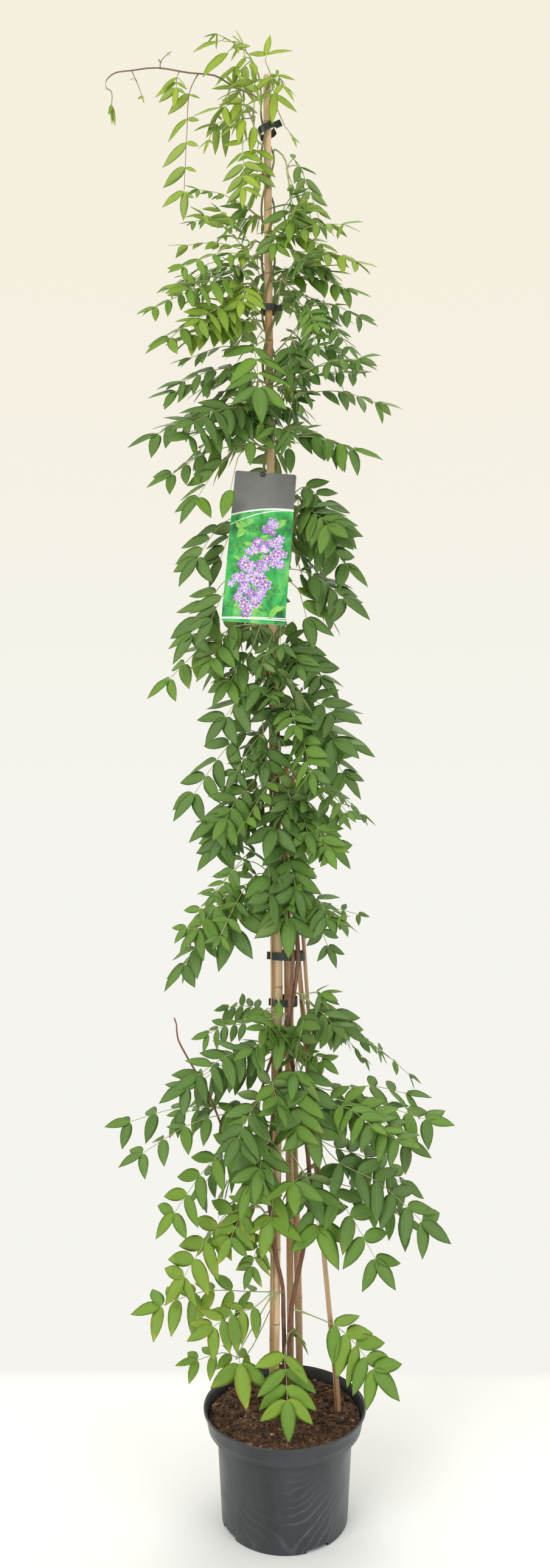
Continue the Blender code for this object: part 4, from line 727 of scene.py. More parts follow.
def pot_plastic(settings):
    """Slate-black moulded plastic: a soft sheen, painted vertical sheen, dust and wiped swirls."""
    kit = new_material("pot_plastic")
    tree = kit[1]
    cloud = noise_at(tree, 9, (1, 1, 0.6), detail=5)
    # painted sheen: long lighter streaks up the wall stand in for reflections of the lights
    sheen_streaks = noise_at(tree, 30, (1, 1, 0.12), detail=6)
    base = ramp(tree, cloud, ((0.3, scaled(settings.plastic, 0.75)),
                              (0.7, scaled(settings.plastic, 1.5))))
    # painted sheen: the vertical streaks lighten the plastic
    base = blend(tree, span(tree, sheen_streaks, 0.45, 0.72, 0.0, 0.5), base, scaled(settings.plastic, 2.4))
    swirl = add_node(tree, "TexWave", {"Vector": object_place(tree), "Scale": 38, "Distortion": 9,
                                       "Detail": 3, "Detail Scale": 0.5}, wave_type="RINGS")
    wiped = sum_of(tree, "MULTIPLY", span(tree, swirl.outputs["Fac"], 0.80, 1.0),
                   span(tree, noise_at(tree, 7, detail=2), 0.46, 0.62, 0.0, 0.30))
    base = blend(tree, wiped, base, (0.16, 0.18, 0.20))
    dust = span(tree, noise_at(tree, 240, detail=6, roughness=0.7), 0.66, 0.74, 0.0, 0.45)
    rough = span(tree, noise_at(tree, 22, detail=6), 0.3, 0.7, settings.gloss - 0.06,
                 settings.gloss + 0.12)
    return finished(kit, blend(tree, dust, base, (0.22, 0.22, 0.21)), rough, 0.10, 0.0004,
                    noise_at(tree, 520, detail=2))


def moist_peat(settings, name="moist_peat", lighter=1.0):
    """Dark fibrous peat with lighter shreds."""
    kit = new_material(name)
    _, tree, shader = kit
    grain = noise_at(tree, 150, detail=9, roughness=0.75)
    shred = noise_at(tree, 90, (1, 5, 1), detail=7, roughness=0.7)
    patch = noise_at(tree, 26, detail=5)
    dark = scaled(settings.peat, 0.25 * lighter)
    plain = scaled(settings.peat, 1.0 * lighter)
    pale = scaled(settings.peat, 3.0 * lighter)
    fine = ramp(tree, grain, ((0.36, dark), (0.50, plain), (0.66, pale)))
    fine = blend(tree, span(tree, shred, 0.60, 0.70, 0.0, 0.7), fine,
                 scaled((0.30, 0.19, 0.11), lighter))
    broad = ramp(tree, patch, ((0.35, (0.50, 0.45, 0.42)), (0.62, (1, 1, 1))))
    shader.inputs["Specular IOR Level"].default_value = 0.3
    return finished(kit, blend(tree, 1.0, fine, broad, "MULTIPLY"), 0.9, 1.0, 0.003, grain)


def bamboo(settings, name="bamboo", shade=1.0, redden=0.0):
    """Dry cane with long grain, stains and a faint sheen."""
    kit = new_material(name)
    tree = kit[1]
    grain = noise_at(tree, 90, (6, 6, 0.10), detail=6, roughness=0.6)
    stain = noise_at(tree, 9, (2, 2, 0.7), detail=5)
    plain = scaled(settings.bamboo, shade)
    ruddy = (plain[0] * 0.92, plain[1] * (0.66 - redden), plain[2] * (0.45 - redden * 0.5))
    pale = (min(plain[0] * 1.22, 1), min(plain[1] * 1.38, 1), min(plain[2] * 1.65, 1))
    base = ramp(tree, stain, ((0.28, ruddy), (0.50, plain), (0.72, pale)))
    lines = ramp(tree, grain, ((0.28, (0.72, 0.64, 0.56)), (0.52, (1, 1, 1))))
    return finished(kit, blend(tree, 0.8, base, lines, "MULTIPLY"),
                    span(tree, grain, 0.3, 0.7, 0.62, 0.42), 0.35, 0.0006, grain)


def bark(settings):
    """Reddish-brown bark, cracked lengthwise, with pale pores."""
    kit = new_material("bark")
    tree = kit[1]
    cracks = noise_at(tree, 150, (3, 3, 0.35), detail=8, roughness=0.7)
    pores = noise_at(tree, 420, (1, 1, 0.8), detail=2)
    patch = noise_at(tree, 20, detail=4)
    skin = ramp(tree, cracks, ((0.28, scaled(settings.bark, 0.35)), (0.50, settings.bark),
                               (0.75, scaled(settings.bark, 2.0))))
    grey = blend(tree, span(tree, patch, 0.45, 0.75, 0.0, 0.55), skin, (0.19, 0.15, 0.11))
    dots = span(tree, pores, 0.66, 0.72, 0.0, 0.6)
    return finished(kit, blend(tree, dots, grey, (0.36, 0.26, 0.17)), 0.78, 0.7, 0.0012, cracks)


def young_stem(name, colour, blush):
    """Smooth green stem with a reddish blush and fine lengthwise lines."""
    kit = new_material(name)
    tree = kit[1]
    lines = noise_at(tree, 220, (3, 3, 0.3), detail=4)
    patch = noise_at(tree, 18, detail=4)
    skin = ramp(tree, lines, ((0.3, scaled(colour, 0.6)), (0.55, colour),
                              (0.8, scaled(colour, 1.5))))
    red = span(tree, patch, 0.42, 0.70, 0.0, blush)
    return finished(kit, blend(tree, red, skin, (0.20, 0.09, 0.045)), 0.5, 0.3, 0.0004, lines)


def leaf_blade(settings, name):
    """A leaf blade: midrib, side veins, mottling, a paler underside, and light that shines through.

    Its first UV map runs along and across a leaflet. The second holds a draw for each leaflet,
    past 2 on the underside. Its other number holds the age as the fraction and the fading as the
    whole part.
    """
    kit = new_material(name)
    made, tree, shader = kit
    along, across, _ = map_place(tree, "blade")
    drawn, state, _ = map_place(tree, "tone")
    under = span(tree, drawn, 1.4, 1.6)
    draw = sum_of(tree, "FRACT", drawn)
    age = sum_of(tree, "FRACT", state)
    faded = sum_of(tree, "MULTIPLY", sum_of(tree, "FLOOR", state), 0.25)
    centred = sum_of(tree, "SUBTRACT", sum_of(tree, "MULTIPLY", across, 2.0), 1.0)
    out = sum_of(tree, "ABSOLUTE", centred)
    rib = span(tree, out, 0.01, 0.055, 1.0, 0.0)
    slant = sum_of(tree, "SUBTRACT", sum_of(tree, "MULTIPLY", along, 9.0),
                   sum_of(tree, "MULTIPLY", out, 1.7))
    between = sum_of(tree, "ABSOLUTE", sum_of(tree, "SUBTRACT", sum_of(tree, "FRACT", slant), 0.5))
    veins = span(tree, between, 0.0, 0.07, 1.0, 0.0)
    mottle = noise_at(tree, 110, detail=5)
    broad = noise_at(tree, 8, detail=3)
    tone = age
    for part, share in ((draw, 0.22), (broad, 0.30), (mottle, 0.16)):
        shift = sum_of(tree, "MULTIPLY", sum_of(tree, "SUBTRACT", part, 0.5), share)
        tone = sum_of(tree, "ADD", tone, shift)
    body = ramp(tree, tone, ((0.05, scaled(settings.old, 0.75)), (0.25, settings.old),
                             (0.52, settings.grown), (0.92, settings.young)))
    pale = blend(tree, 0.42, body, (0.48, 0.56, 0.20))
    body = blend(tree, sum_of(tree, "MULTIPLY", veins, 0.16), body, pale)
    body = blend(tree, sum_of(tree, "MULTIPLY", rib, 0.60), body, pale)
    body = blend(tree, under, body, blend(tree, 0.34, body, (0.36, 0.43, 0.19)))
    edge = sum_of(tree, "MAXIMUM", span(tree, along, 0.70, 1.0), span(tree, out, 0.60, 1.0))
    sear = sum_of(tree, "MULTIPLY", sum_of(tree, "MULTIPLY", edge, faded),
                  span(tree, mottle, 0.38, 0.58))
    body = blend(tree, sear, body, settings.faded)
    shine = sum_of(tree, "ADD", span(tree, under, 0.0, 1.0, 0.40, 0.64),
                   sum_of(tree, "MULTIPLY", mottle, 0.14))
    shader.inputs["Specular IOR Level"].default_value = 0.36
    relief = sum_of(tree, "SUBTRACT", sum_of(tree, "MULTIPLY", mottle, 0.2),
                    sum_of(tree, "MAXIMUM", rib, veins))
    finished(kit, body, shine, 0.22, 0.0005, relief)
    glow = blend(tree, 1.0, body, (1.0, 1.0, 0.30), "MULTIPLY")
    through = add_node(tree, "BsdfTranslucent", {"Color": glow})
    both = add_node(tree, "MixShader", {0: 0.28, 1: shader.outputs["BSDF"],
                                        2: through.outputs["BSDF"]})
    tree.links.new(both.outputs["Shader"], tree.nodes["Material Output"].inputs["Surface"])
    return made


def strap_plastic(settings):
    """Dark glossy plastic with moulding marks and dust."""
    kit = new_material("strap_plastic")
    tree = kit[1]
    cloud = noise_at(tree, 160, detail=5)
    base = ramp(tree, cloud, ((0.35, scaled(settings.strap, 0.7)),
                              (0.7, scaled(settings.strap, 1.9))))
    return finished(kit, base, span(tree, cloud, 0.3, 0.7, 0.22, 0.42), 0.3, 0.0004,
                    noise_at(tree, 700, detail=3))


def tie_plastic(settings):
    """Teal strip, worn paler along its ridges."""
    kit = new_material("tie_plastic")
    tree = kit[1]
    wear = noise_at(tree, 300, (1, 1, 0.3), detail=5)
    base = ramp(tree, wear, ((0.3, scaled(settings.tie, 0.6)), (0.55, settings.tie),
                             (0.8, (0.12, 0.42, 0.36))))
    return finished(kit, base, 0.45, 0.4, 0.0004, wear)


def card_front(settings):
    """The card's print: a grey header, two white arcs, and a field of blurred greens."""
    kit = new_material("card_front")
    _, tree, shader = kit
    x, y, _ = map_place(tree, "print")

    def arc(height, drop, reach):
        """How far a point stands above a line that rises to this height at the right."""
        short = sum_of(tree, "SUBTRACT", 1.0, sum_of(tree, "MULTIPLY", x, 1 / reach))
        fall = sum_of(tree, "MULTIPLY", sum_of(tree, "MULTIPLY", short, short), drop)
        return sum_of(tree, "SUBTRACT", y, sum_of(tree, "SUBTRACT", height, fall))

    low = arc(0.757, 0.061, 0.85)
    foliage = noise_at(tree, 46, (1, 1, 0.55), detail=3)
    field = ramp(tree, foliage, ((0.32, scaled(settings.field, 0.25)), (0.50, settings.field),
                                 (0.68, (0.19, 0.56, 0.13))))
    # painted sheen: the header's grey made lighter and darker in broad patches
    sheen = noise_at(tree, 12, detail=3)
    header = ramp(tree, sheen, ((0.3, scaled(settings.header, 0.85)),
                                (0.7, scaled(settings.header, 1.35))))
    colour = blend(tree, span(tree, low, -0.001, 0.001), field, header)
    lines = ((low, 0.0042), (arc(0.750, 0.120, 0.95), 0.0022), (arc(0.042, 0.020, 1.1), 0.0022),
             (arc(0.030, 0.012, 0.9), 0.0030))
    for line, half in lines:
        off = sum_of(tree, "ABSOLUTE", line)
        colour = blend(tree, span(tree, off, half, half * 1.5, 1.0, 0.0), colour,
                       (0.85, 0.88, 0.84))
    shader.inputs["Coat Weight"].default_value = 0.35
    return finished(kit, colour, 0.27, 0.08, 0.0004, noise_at(tree, 500, detail=2))


def card_print(name, dark, pale):
    """Ink on the card, darker and paler in small random patches."""
    kit = new_material(name)
    tree = kit[1]
    tint = noise_at(tree, 190, detail=3)
    return finished(kit, ramp(tree, tint, ((0.32, dark), (0.66, pale))), 0.3, 0.08, 0.0003,
                    noise_at(tree, 600, detail=2))


def floor_cloth(settings):
    """Pale cloth on the floor that fades into the even backdrop behind the pot."""
    kit = new_material("floor_cloth")
    made, tree, shader = kit
    folds = noise_at(tree, 2.2, (1.0, 0.45, 1), detail=3)
    weave = noise_at(tree, 900, detail=2)
    # painted shade: the cloth a little darker in the hollows of its folds and lighter on their ridges
    base = ramp(tree, folds, ((0.3, scaled(settings.floor, 0.96)),
                              (0.7, scaled(settings.floor, 1.03))))
    shader.inputs["Specular IOR Level"].default_value = 0.2
    finished(kit, base, 0.85, 0.25, 0.004,
             sum_of(tree, "ADD", folds, sum_of(tree, "MULTIPLY", weave, 0.02)))
    _, depth, _ = parts_of(tree, object_place(tree))
    light = add_node(tree, "Emission", {"Color": (*settings.wall, 1), "Strength": 1.0})
    both = add_node(tree, "MixShader", {0: span(tree, depth, *BACKDROP_STARTS),
                                        1: shader.outputs["BSDF"], 2: light.outputs["Emission"]})
    tree.links.new(both.outputs["Shader"], tree.nodes["Material Output"].inputs["Surface"])
    return made


# Making pieces.


def as_mesh(bm, name):
    """A mesh of this name made from a bmesh, which is freed."""
    mesh = bpy.data.meshes.new(name)
    bm.to_mesh(mesh)
    bm.free()
    return mesh


def put_in_scene(name, data):
    """A new object in the scene that shows this mesh, curve, light or camera."""
    made = bpy.data.objects.new(name, data)
    bpy.context.scene.collection.objects.link(made)
    return made


def add_piece(name, shape, materials, nodes=(), smooth=True, sharp=None):
    """A finished piece from a mesh or bmesh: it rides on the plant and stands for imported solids."""
    if isinstance(shape, bmesh.types.BMesh):
        mesh = as_mesh(shape, name)
    else:
        mesh = shape
        mesh.name = name
    for one in materials:
        mesh.materials.append(one)
    piece = put_in_scene(name, mesh)
    if smooth:
        mesh.shade_smooth()
        if sharp:
            mesh.set_sharp_from_angle(angle=math.radians(sharp))
    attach(piece, "root")
    if nodes:
        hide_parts(*nodes)
    return piece


def as_seen(holder):
    """The mesh that an object shows once its changes are made. The object itself goes."""
    graph = bpy.context.evaluated_depsgraph_get()
    mesh = bpy.data.meshes.new_from_object(holder.evaluated_get(graph))
    bpy.data.objects.remove(holder)
    return mesh


def tubes(lines, resolution):
    """One mesh of round tubes, each along a line of points with a radius at each."""
    data = bpy.data.curves.new("tubes", "CURVE")
    data.dimensions = "3D"
    data.bevel_depth = 1.0
    data.bevel_resolution = resolution
    data.use_fill_caps = True
    for path, radii in lines:
        spline = data.splines.new("POLY")
        spline.points.add(len(path) - 1)
        for point, spot, radius in zip(spline.points, path, radii):
            point.co = (*spot, 1)
            point.radius = radius
    mesh = as_seen(put_in_scene("tubes", data))
    bpy.data.curves.remove(data)
    return mesh


def turn_profile(profile, segments):
    """A closed body: a profile of radius and height turned round the Z axis."""
    bm = bmesh.new()
    spots = [bm.verts.new((radius, 0, height)) for radius, height in profile]
    edges = [bm.edges.new(pair) for pair in zip(spots, spots[1:])]
    bmesh.ops.spin(bm, geom=spots + edges, cent=(0, 0, 0), axis=(0, 0, 1), angle=2 * math.pi,
                   steps=segments, use_merge=True, use_duplicate=False)
    bmesh.ops.remove_doubles(bm, verts=bm.verts, dist=1e-6)
    bmesh.ops.recalc_face_normals(bm, faces=bm.faces)
    return bm


def scatter(template, matrices, indices, draw, rough):
    """One mesh of copies of a small shape, each moved, roughened and given a material."""
    bm = bmesh.new()
    for matrix, index in zip(matrices, indices):
        first = len(bm.verts)
        first_face = len(bm.faces)
        bm.from_mesh(template)
        bm.verts.ensure_lookup_table()
        bm.faces.ensure_lookup_table()
        for vert in bm.verts[first:]:
            vert.co = matrix @ (vert.co * draw.uniform(1 - rough, 1 + rough))
        for face in bm.faces[first_face:]:
            face.material_index = index
    return as_mesh(bm, "scatter")


def add_mesh(bm, mesh, index=None):
    """Adds a mesh to a bmesh, under one material if a place in the list is given."""
    if index is not None:
        for face in mesh.polygons:
            face.material_index = index
    bm.from_mesh(mesh)
    bpy.data.meshes.remove(mesh)


def cut_out(bm, boxes):
    """Cuts boxes, each a matrix over a unit cube, out of a closed body."""
    target = put_in_scene("body", as_mesh(bm, "body"))
    tool = bmesh.new()
    for matrix in boxes:
        bmesh.ops.create_cube(tool, size=1.0, matrix=matrix)
    cutter = put_in_scene("cutter", as_mesh(tool, "cutter"))
    change = target.modifiers.new("cut", "BOOLEAN")
    change.operation = "DIFFERENCE"
    change.object = cutter
    change.solver = "EXACT"
    mesh = as_seen(target)
    bpy.data.objects.remove(cutter)
    return mesh


def make_pot(settings):
    """The container: rolled rim, sloping band, ledge, tapering wall, foot ring and notches."""
    wall = POT_WALL
    profile = (
        (0, 0), (0.025, 0), (0.027, FOOT_HEIGHT), (0.088, FOOT_HEIGHT), (0.090, 0.0004),
        (0.0905, 0), (POT_FOOT - 0.0008, 0), (POT_FOOT, 0.0010), (POT_BODY_TOP - 0.0006, 0.1330),
        (POT_BODY_TOP, 0.1385), (POT_BODY_TOP + 0.0004, 0.1392), (0.1215, 0.1400), (0.1223, 0.1406),
        (0.1226, 0.1418), (0.1240, 0.1490), (0.1243, 0.1494), (0.1243, 0.1502), (0.1262, 0.1628),
        (0.1266, 0.1640), (0.1294, 0.1656), (POT_RIM, 0.1664), (POT_RIM, POT_HEIGHT - 0.0010),
        (POT_RIM - 0.0010, POT_HEIGHT), (POT_RIM - 1.3 * wall + 0.0006, POT_HEIGHT),
        (POT_RIM - 1.3 * wall, POT_HEIGHT - 0.0006), (0.1262 - wall, 0.1645),
        (0.1225 - wall, 0.1425), (POT_BODY_TOP - wall, 0.1405), (0.0985, FLOOR_TOP), (0, FLOOR_TOP))
    bm = turn_profile(profile, settings.segments)
    boxes = []
    for angle in NOTCH_ANGLES:
        turn = Matrix.Rotation(math.radians(angle) - math.pi / 2, 4, "Z")
        move = Matrix.Translation((0.095, 0, 0.0016))
        boxes.append(turn @ move @ Matrix.Diagonal((0.018, NOTCH_WIDTH, 0.0072, 1)))
    mesh = cut_out(bm, boxes)
    add_piece("container", mesh, [pot_plastic(settings)], ["pot"], sharp=38)


# Larger bits on the peat: x, y, size and which material.
PEAT_BITS = ((0.1045, -0.022, 0.0034, 3), (0.1075, -0.026, 0.0028, 3), (0.087, -0.032, 0.0062, 1),
             (0.080, -0.029, 0.0040, 1), (-0.076, -0.018, 0.0044, 1), (-0.020, -0.070, 0.0030, 3))


def lumpy(x, y, lump):
    """Height of the peat's surface."""
    spot = Vector((x, y, 0))
    mound = SOIL_MOUND * math.cos(min(math.hypot(x, y) / POT_RIM, 1) * math.pi / 2)
    rough = (noise.fractal(spot * 42, 1.0, 2.1, 5) * 0.8
             + noise.fractal(spot * 190, 0.9, 2.2, 3) * 0.35)
    return SOIL_TOP + mound + max(min(rough, 1), -1) * lump


def make_peat(settings):
    """Peat: a lumpy top over a plain body, with loose crumbs, fibres and shreds of bark."""
    draw = random.Random(SEED)
    profile = [(0, FLOOR_TOP + GAP), (0.0970, FLOOR_TOP + GAP), (0.1050, 0.1409), (0.1188, 0.1437)]
    profile += [(PEAT_EDGE * (1 - ring / PEAT_RINGS), SOIL_TOP) for ring in range(PEAT_RINGS)]
    profile.append((0, SOIL_TOP))
    bm = turn_profile(profile, PEAT_SEGMENTS)
    for vert in bm.verts:
        if vert.co.z > SOIL_TOP - 0.001:
            reach = math.hypot(vert.co.x, vert.co.y)
            sunk = 0.004 * max(reach - PEAT_SINKS, 0) / 0.01
            vert.co.z = lumpy(vert.co.x, vert.co.y, settings.lump) - sunk
    crumb = bmesh.new()
    bmesh.ops.create_icosphere(crumb, subdivisions=1, radius=1.0)
    template = as_mesh(crumb, "crumb")
    matrices = []
    for _ in range(settings.crumbs):
        reach = CRUMB_REACH * math.sqrt(draw.random())
        turn = draw.uniform(0, 2 * math.pi)
        x = reach * math.cos(turn)
        y = reach * math.sin(turn)
        size = 0.0007 + 0.0034 * draw.random() ** 3
        spin = Matrix.Rotation(draw.uniform(0, 6.28), 4, "Z")
        spin = spin @ Matrix.Rotation(draw.uniform(-0.6, 0.6), 4, "X")
        shape = Matrix.Diagonal((size * draw.uniform(0.8, 2.4), size,
                                 size * draw.uniform(0.5, 1.0), 1))
        move = Matrix.Translation((x, y, lumpy(x, y, settings.lump) + size * 0.3))
        matrices.append(move @ spin @ shape)
    indices = [draw.choice((0, 0, 1, 2)) for _ in matrices]
    for x, y, size, index in PEAT_BITS:
        move = Matrix.Translation((x, y, lumpy(x, y, settings.lump) + size * 0.4))
        matrices.append(move @ Matrix.Diagonal((size * 1.3, size, size * 0.9, 1)))
        indices.append(index)
    add_mesh(bm, scatter(template, matrices, indices, draw, 0.22))
    bpy.data.meshes.remove(template)
    lines = []
    for _ in range(settings.fibres):
        reach = FIBRE_REACH * math.sqrt(draw.random())
        turn = draw.uniform(0, 2 * math.pi)
        spot = Vector((reach * math.cos(turn), reach * math.sin(turn), 0))
        heading = Vector((draw.uniform(-1, 1), draw.uniform(-1, 1), 0)).normalized()
        path = []
        for _ in range(6):
            spot = spot + heading * draw.uniform(0.0012, 0.0032)
            heading = (Matrix.Rotation(draw.uniform(-0.5, 0.5), 3, "Z") @ heading).normalized()
            if spot.length > FIBRE_LIMIT:
                break
            height = lumpy(spot.x, spot.y, settings.lump) + draw.uniform(0.0, 0.0016)
            path.append(Vector((spot.x, spot.y, height)))
        if len(path) > 2:
            lines.append((path, [draw.uniform(0.00018, 0.0004)] * len(path)))
    add_mesh(bm, tubes(lines, 0), 2)
    finishes = [moist_peat(settings), moist_peat(settings, "peat_crumb", 0.6),
                moist_peat(settings, "peat_fibre", 2.0), moist_peat(settings, "peat_bit", 4.2)]
    add_piece("peat", bm, finishes, ["soil"])


# Swellings of a cane at a node: how far from it, and the radius there against the plain one.
CANE_RINGS = ((-0.016, 1.0), (-0.006, 1.02), (-0.0025, 1.10), (-0.0008, 1.04), (0.0, 0.985),
              (0.0008, 1.07), (0.0022, 1.09), (0.006, 1.01), (0.016, 0.99))
RING_HALF_WIDTH = 0.0016
PITH_DEPTH = 0.010
# Each cane's radius by height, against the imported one.
CANE_TAPERS = {"cane_1": ((0.0, 0.66), (0.5, 0.72), (0.9, 0.90), (1.5, 0.98), (2.4, 0.96)),
               "cane_2": ((0.0, 0.66), (0.5, 0.72), (1.3, 0.84)),
               "cane_3": ((0.0, 0.70), (0.6, 0.76), (1.3, 0.80)),
               "cane_4": ((0.0, 0.66), (0.5, 0.72), (1.3, 0.82)),
               "cane_5": ((0.0, 0.68), (1.3, 0.62))}


def make_canes(settings):
    """Bamboo canes with ringed nodes, slightly crooked, and hollow at the top."""
    tall, short = bamboo(settings), bamboo(settings, "bamboo_old", 0.80, 0.05)
    # painted shade: the second trim is a dark copy of the bamboo for the inside of the hollow top
    trims = [bamboo(settings, "bamboo_ring", 0.55, 0.12),
             bamboo(settings, "bamboo_hole_shade", 0.30, 0.10)]
    for number, name in enumerate(CANES):
        draw = random.Random(SEED + number)
        radius, axis = cane_axis(name)
        foot = axis[0].z
        top = axis[-1].z
        marks = []
        height = foot + 0.5 * CANE_NODE_STEP
        while height < top - 0.04:
            marks.append((height, 1.0))
            marks.append((height + CANE_NODE_STEP * draw.uniform(0.42, 0.58), 0.75))
            height += CANE_NODE_STEP
        heights = {round(foot, 5): 1.0, round(top, 5): 0.95}
        for mark, strength in marks:
            if mark > top - 0.03:
                continue
            for rise, swell in CANE_RINGS:
                heights[round(mark + rise, 5)] = 1 + (swell - 1) * strength
        steps = int((top - foot) / 0.03)
        for step in range(1, steps):
            height = foot + (top - foot) * step / steps
            if all(abs(height - mark) > 0.02 for mark, _ in marks):
                heights[round(height, 5)] = 0.985
        path = []
        radii = []
        for height in sorted(heights):
            path.append(point_at_height(axis, height) or axis[-1].copy())
            radii.append(radius * heights[height] * value_at(CANE_TAPERS[name], height))
        mesh = tubes([(path, radii)], (settings.sides - 4) // 2)
        bm = bmesh.new()
        add_mesh(bm, mesh)
        ends = [face for face in bm.faces
                if len(face.verts) > 4 and face.calc_center_median().z > top - 0.002]
        inner = bmesh.ops.inset_region(bm, faces=ends, thickness=radius * 0.26,
                                       use_even_offset=True)
        # painted shade: the sunk end and the wall of the hole take the dark copy
        for face in ends:
            bmesh.ops.translate(bm, verts=face.verts, vec=(0, 0, -PITH_DEPTH))
            face.material_index = 2
        for face in inner["faces"]:
            face.material_index = 2
        for face in bm.faces:
            middle = face.calc_center_median().z
            if any(abs(middle - mark) < RING_HALF_WIDTH for mark, _ in marks):
                face.material_index = 1
        skin = tall if name == "cane_1" else short
        add_piece("bamboo_" + name, bm, [skin, *trims], [name], sharp=60)


def knobbly(path, radii, draw, strength):
    """Radii that swell and shrink along an old stem, with a knot now and then."""
    found = []
    for spot, radius in zip(path, radii):
        swell = 1 + strength * noise.noise(spot * 60)
        if draw.random() < 0.05:
            swell += strength * 0.9
        found.append(radius * swell)
    return found


def make_stems(settings):
    """The twining stems: old wood below, and the green stems that go on from it."""
    axes = [cane_axis(name) for name in CANES]
    draw = random.Random(SEED)
    wood = []
    green = []
    for number, strand in enumerate((STRAND_MAIN, STRAND_SECOND)):
        start, end, spots = strand
        path = strand_path(spots, math.pi * (1.3 + number), axes)
        path = clear_of_canes(path, radii_along(path, start, end * 0.75), axes)
        below, above = split_at(path, WOOD_TOP)
        below = curve_through(below, 4)
        above = curve_through(above, 4)
        wood.append((below, knobbly(below, radii_along(below, start, end), draw, 0.16)))
        green.append((above, knobbly(above, radii_along(above, end * 0.96, end * 0.7), draw, 0.08)))
    for start, end, spots in (STRAND_LOOP, BARE_TWIG):
        path = curve_through([place(*spot) for spot in spots], 2)
        path = clear_of_canes(path, radii_along(path, start, end), axes)
        path = curve_through(path, 4)
        wood.append((path, knobbly(path, radii_along(path, start, end), draw, 0.14)))
    add_piece("old_stems", tubes(wood, 4), [bark(settings)], ["vine_wood"])
    for number, line in enumerate(green):
        skin = young_stem(f"young_stem_{number + 1}", settings.green, 0.75 - 0.3 * number)
        add_piece(f"young_stem_{number + 1}", tubes([line], 3), [skin],
                  [f"vine_green_{number + 1}"])


# A blade's half width at stops along its length, and its faces across.
BLADE_STOPS = ((0.0, 0.05), (0.03, 0.30), (0.10, 0.66), (0.24, 0.92), (0.40, 1.0), (0.58, 0.90),
               (0.76, 0.62), (0.90, 0.27), (1.0, 0.0))
BLADE_ACROSS = 4


def blade_template():
    """One leaflet of length 1 and half width 1, pointed, lens-shaped, with both its UV maps."""
    bm = bmesh.new()
    columns = len(BLADE_STOPS) - 1
    bmesh.ops.create_grid(bm, x_segments=columns, y_segments=BLADE_ACROSS, size=1.0)
    blade = bm.loops.layers.uv.new("blade")
    tone = bm.loops.layers.uv.new("tone")
    for face in bm.faces:
        for loop in face.loops:
            column = round((loop.vert.co.x + 1) / 2 * columns)
            loop[blade].uv = (BLADE_STOPS[column][0], (loop.vert.co.y + 1) / 2)
            loop[tone].uv = (0.0, 0.0)
    made = bmesh.ops.duplicate(bm, geom=bm.verts[:] + bm.edges[:] + bm.faces[:])
    lower = [item for item in made["geom"] if isinstance(item, bmesh.types.BMFace)]
    bmesh.ops.reverse_faces(bm, faces=lower)
    under = set()
    for face in lower:
        for loop in face.loops:
            loop[tone].uv = (2.0, 0.0)
            under.add(loop.vert)
    for vert in bm.verts:
        part, wide = BLADE_STOPS[round((vert.co.x + 1) / 2 * columns)]
        out = vert.co.y
        height = (1 - out * out) * math.sqrt(wide) * (-0.5 if vert in under else 0.5)
        vert.co = (part, out * wide, height)
    bmesh.ops.remove_doubles(bm, verts=bm.verts, dist=1e-5)
    return as_mesh(bm, "blade")


def add_leaflet(bm, template, settings, draw, place_on, size, state):
    """One leaflet on a rib: folded, waved, drooping, each a little different."""
    root, along, across = place_on
    reach, width, sag = size
    first = len(bm.verts)
    first_face = len(bm.faces)
    bm.from_mesh(template)
    bm.verts.ensure_lookup_table()
    bm.faces.ensure_lookup_table()
    up = along.cross(across).normalized()
    if up.z < 0:
        up = -up
    fold = settings.fold * draw.uniform(0.3, 1.5)
    ripple = draw.uniform(0.01, 0.04) * width
    phase = draw.uniform(0, 2 * math.pi)
    curl = draw.uniform(-0.05, 0.07)
    for vert in bm.verts[first:]:
        part, out, height = vert.co
        side = out * width / 2
        lift = abs(side) * fold + height * settings.thickness * 2
        lift += ripple * math.sin(part * 9 + phase) * out * out
        bend = sag * reach * part * part
        swing = curl * reach * part * part
        vert.co = root + along * (part * reach) + across * (side + swing) + up * lift - UP * bend
    tone = bm.loops.layers.uv["tone"]
    age, faded = state
    age = min(max(age + draw.uniform(-0.05, 0.05), 0.01), 0.98)
    mark = Vector((draw.uniform(0.02, 0.95), age + math.floor(faded * draw.uniform(0, 4.99))))
    for face in bm.faces[first_face:]:
        for loop in face.loops:
            loop[tone].uv += mark


# By height on the plant: how young leaves look, how wide they are, how far they droop, how long a
# leaflet gets at most, and how many more leaves grow.
HEIGHT_AGE = ((0.0, 0.56), (0.45, 0.50), (0.60, 0.38), (0.95, 0.38), (1.15, 0.32), (1.45, 0.27),
              (1.62, 0.34), (1.90, 0.42), (2.05, 0.48), (2.25, 0.74), (2.50, 0.80))
HEIGHT_WIDTH = ((0.0, 1.0), (1.5, 1.0), (1.75, 0.84), (2.1, 0.80), (2.25, 0.66), (2.5, 0.66))
HEIGHT_DROOP = ((0.0, 1.0), (2.15, 1.0), (2.30, 2.4))
HEIGHT_LONGEST = ((0.0, 0.066), (2.12, 0.066), (2.26, 0.058))
HEIGHT_FULLNESS = ((0.0, 0.9), (0.5, 0.9), (0.9, 1.0), (1.4, 1.0), (1.65, 1.8), (2.0, 1.7),
                   (2.15, 1.4), (2.3, 1.0))


def value_at(table, height):
    """The value that a table of heights and values gives at a height."""
    for (low, first), (high, second) in zip(table, table[1:]):
        if height < high:
            return first + (second - first) * max(height - low, 0) / (high - low)
    return table[-1][1]


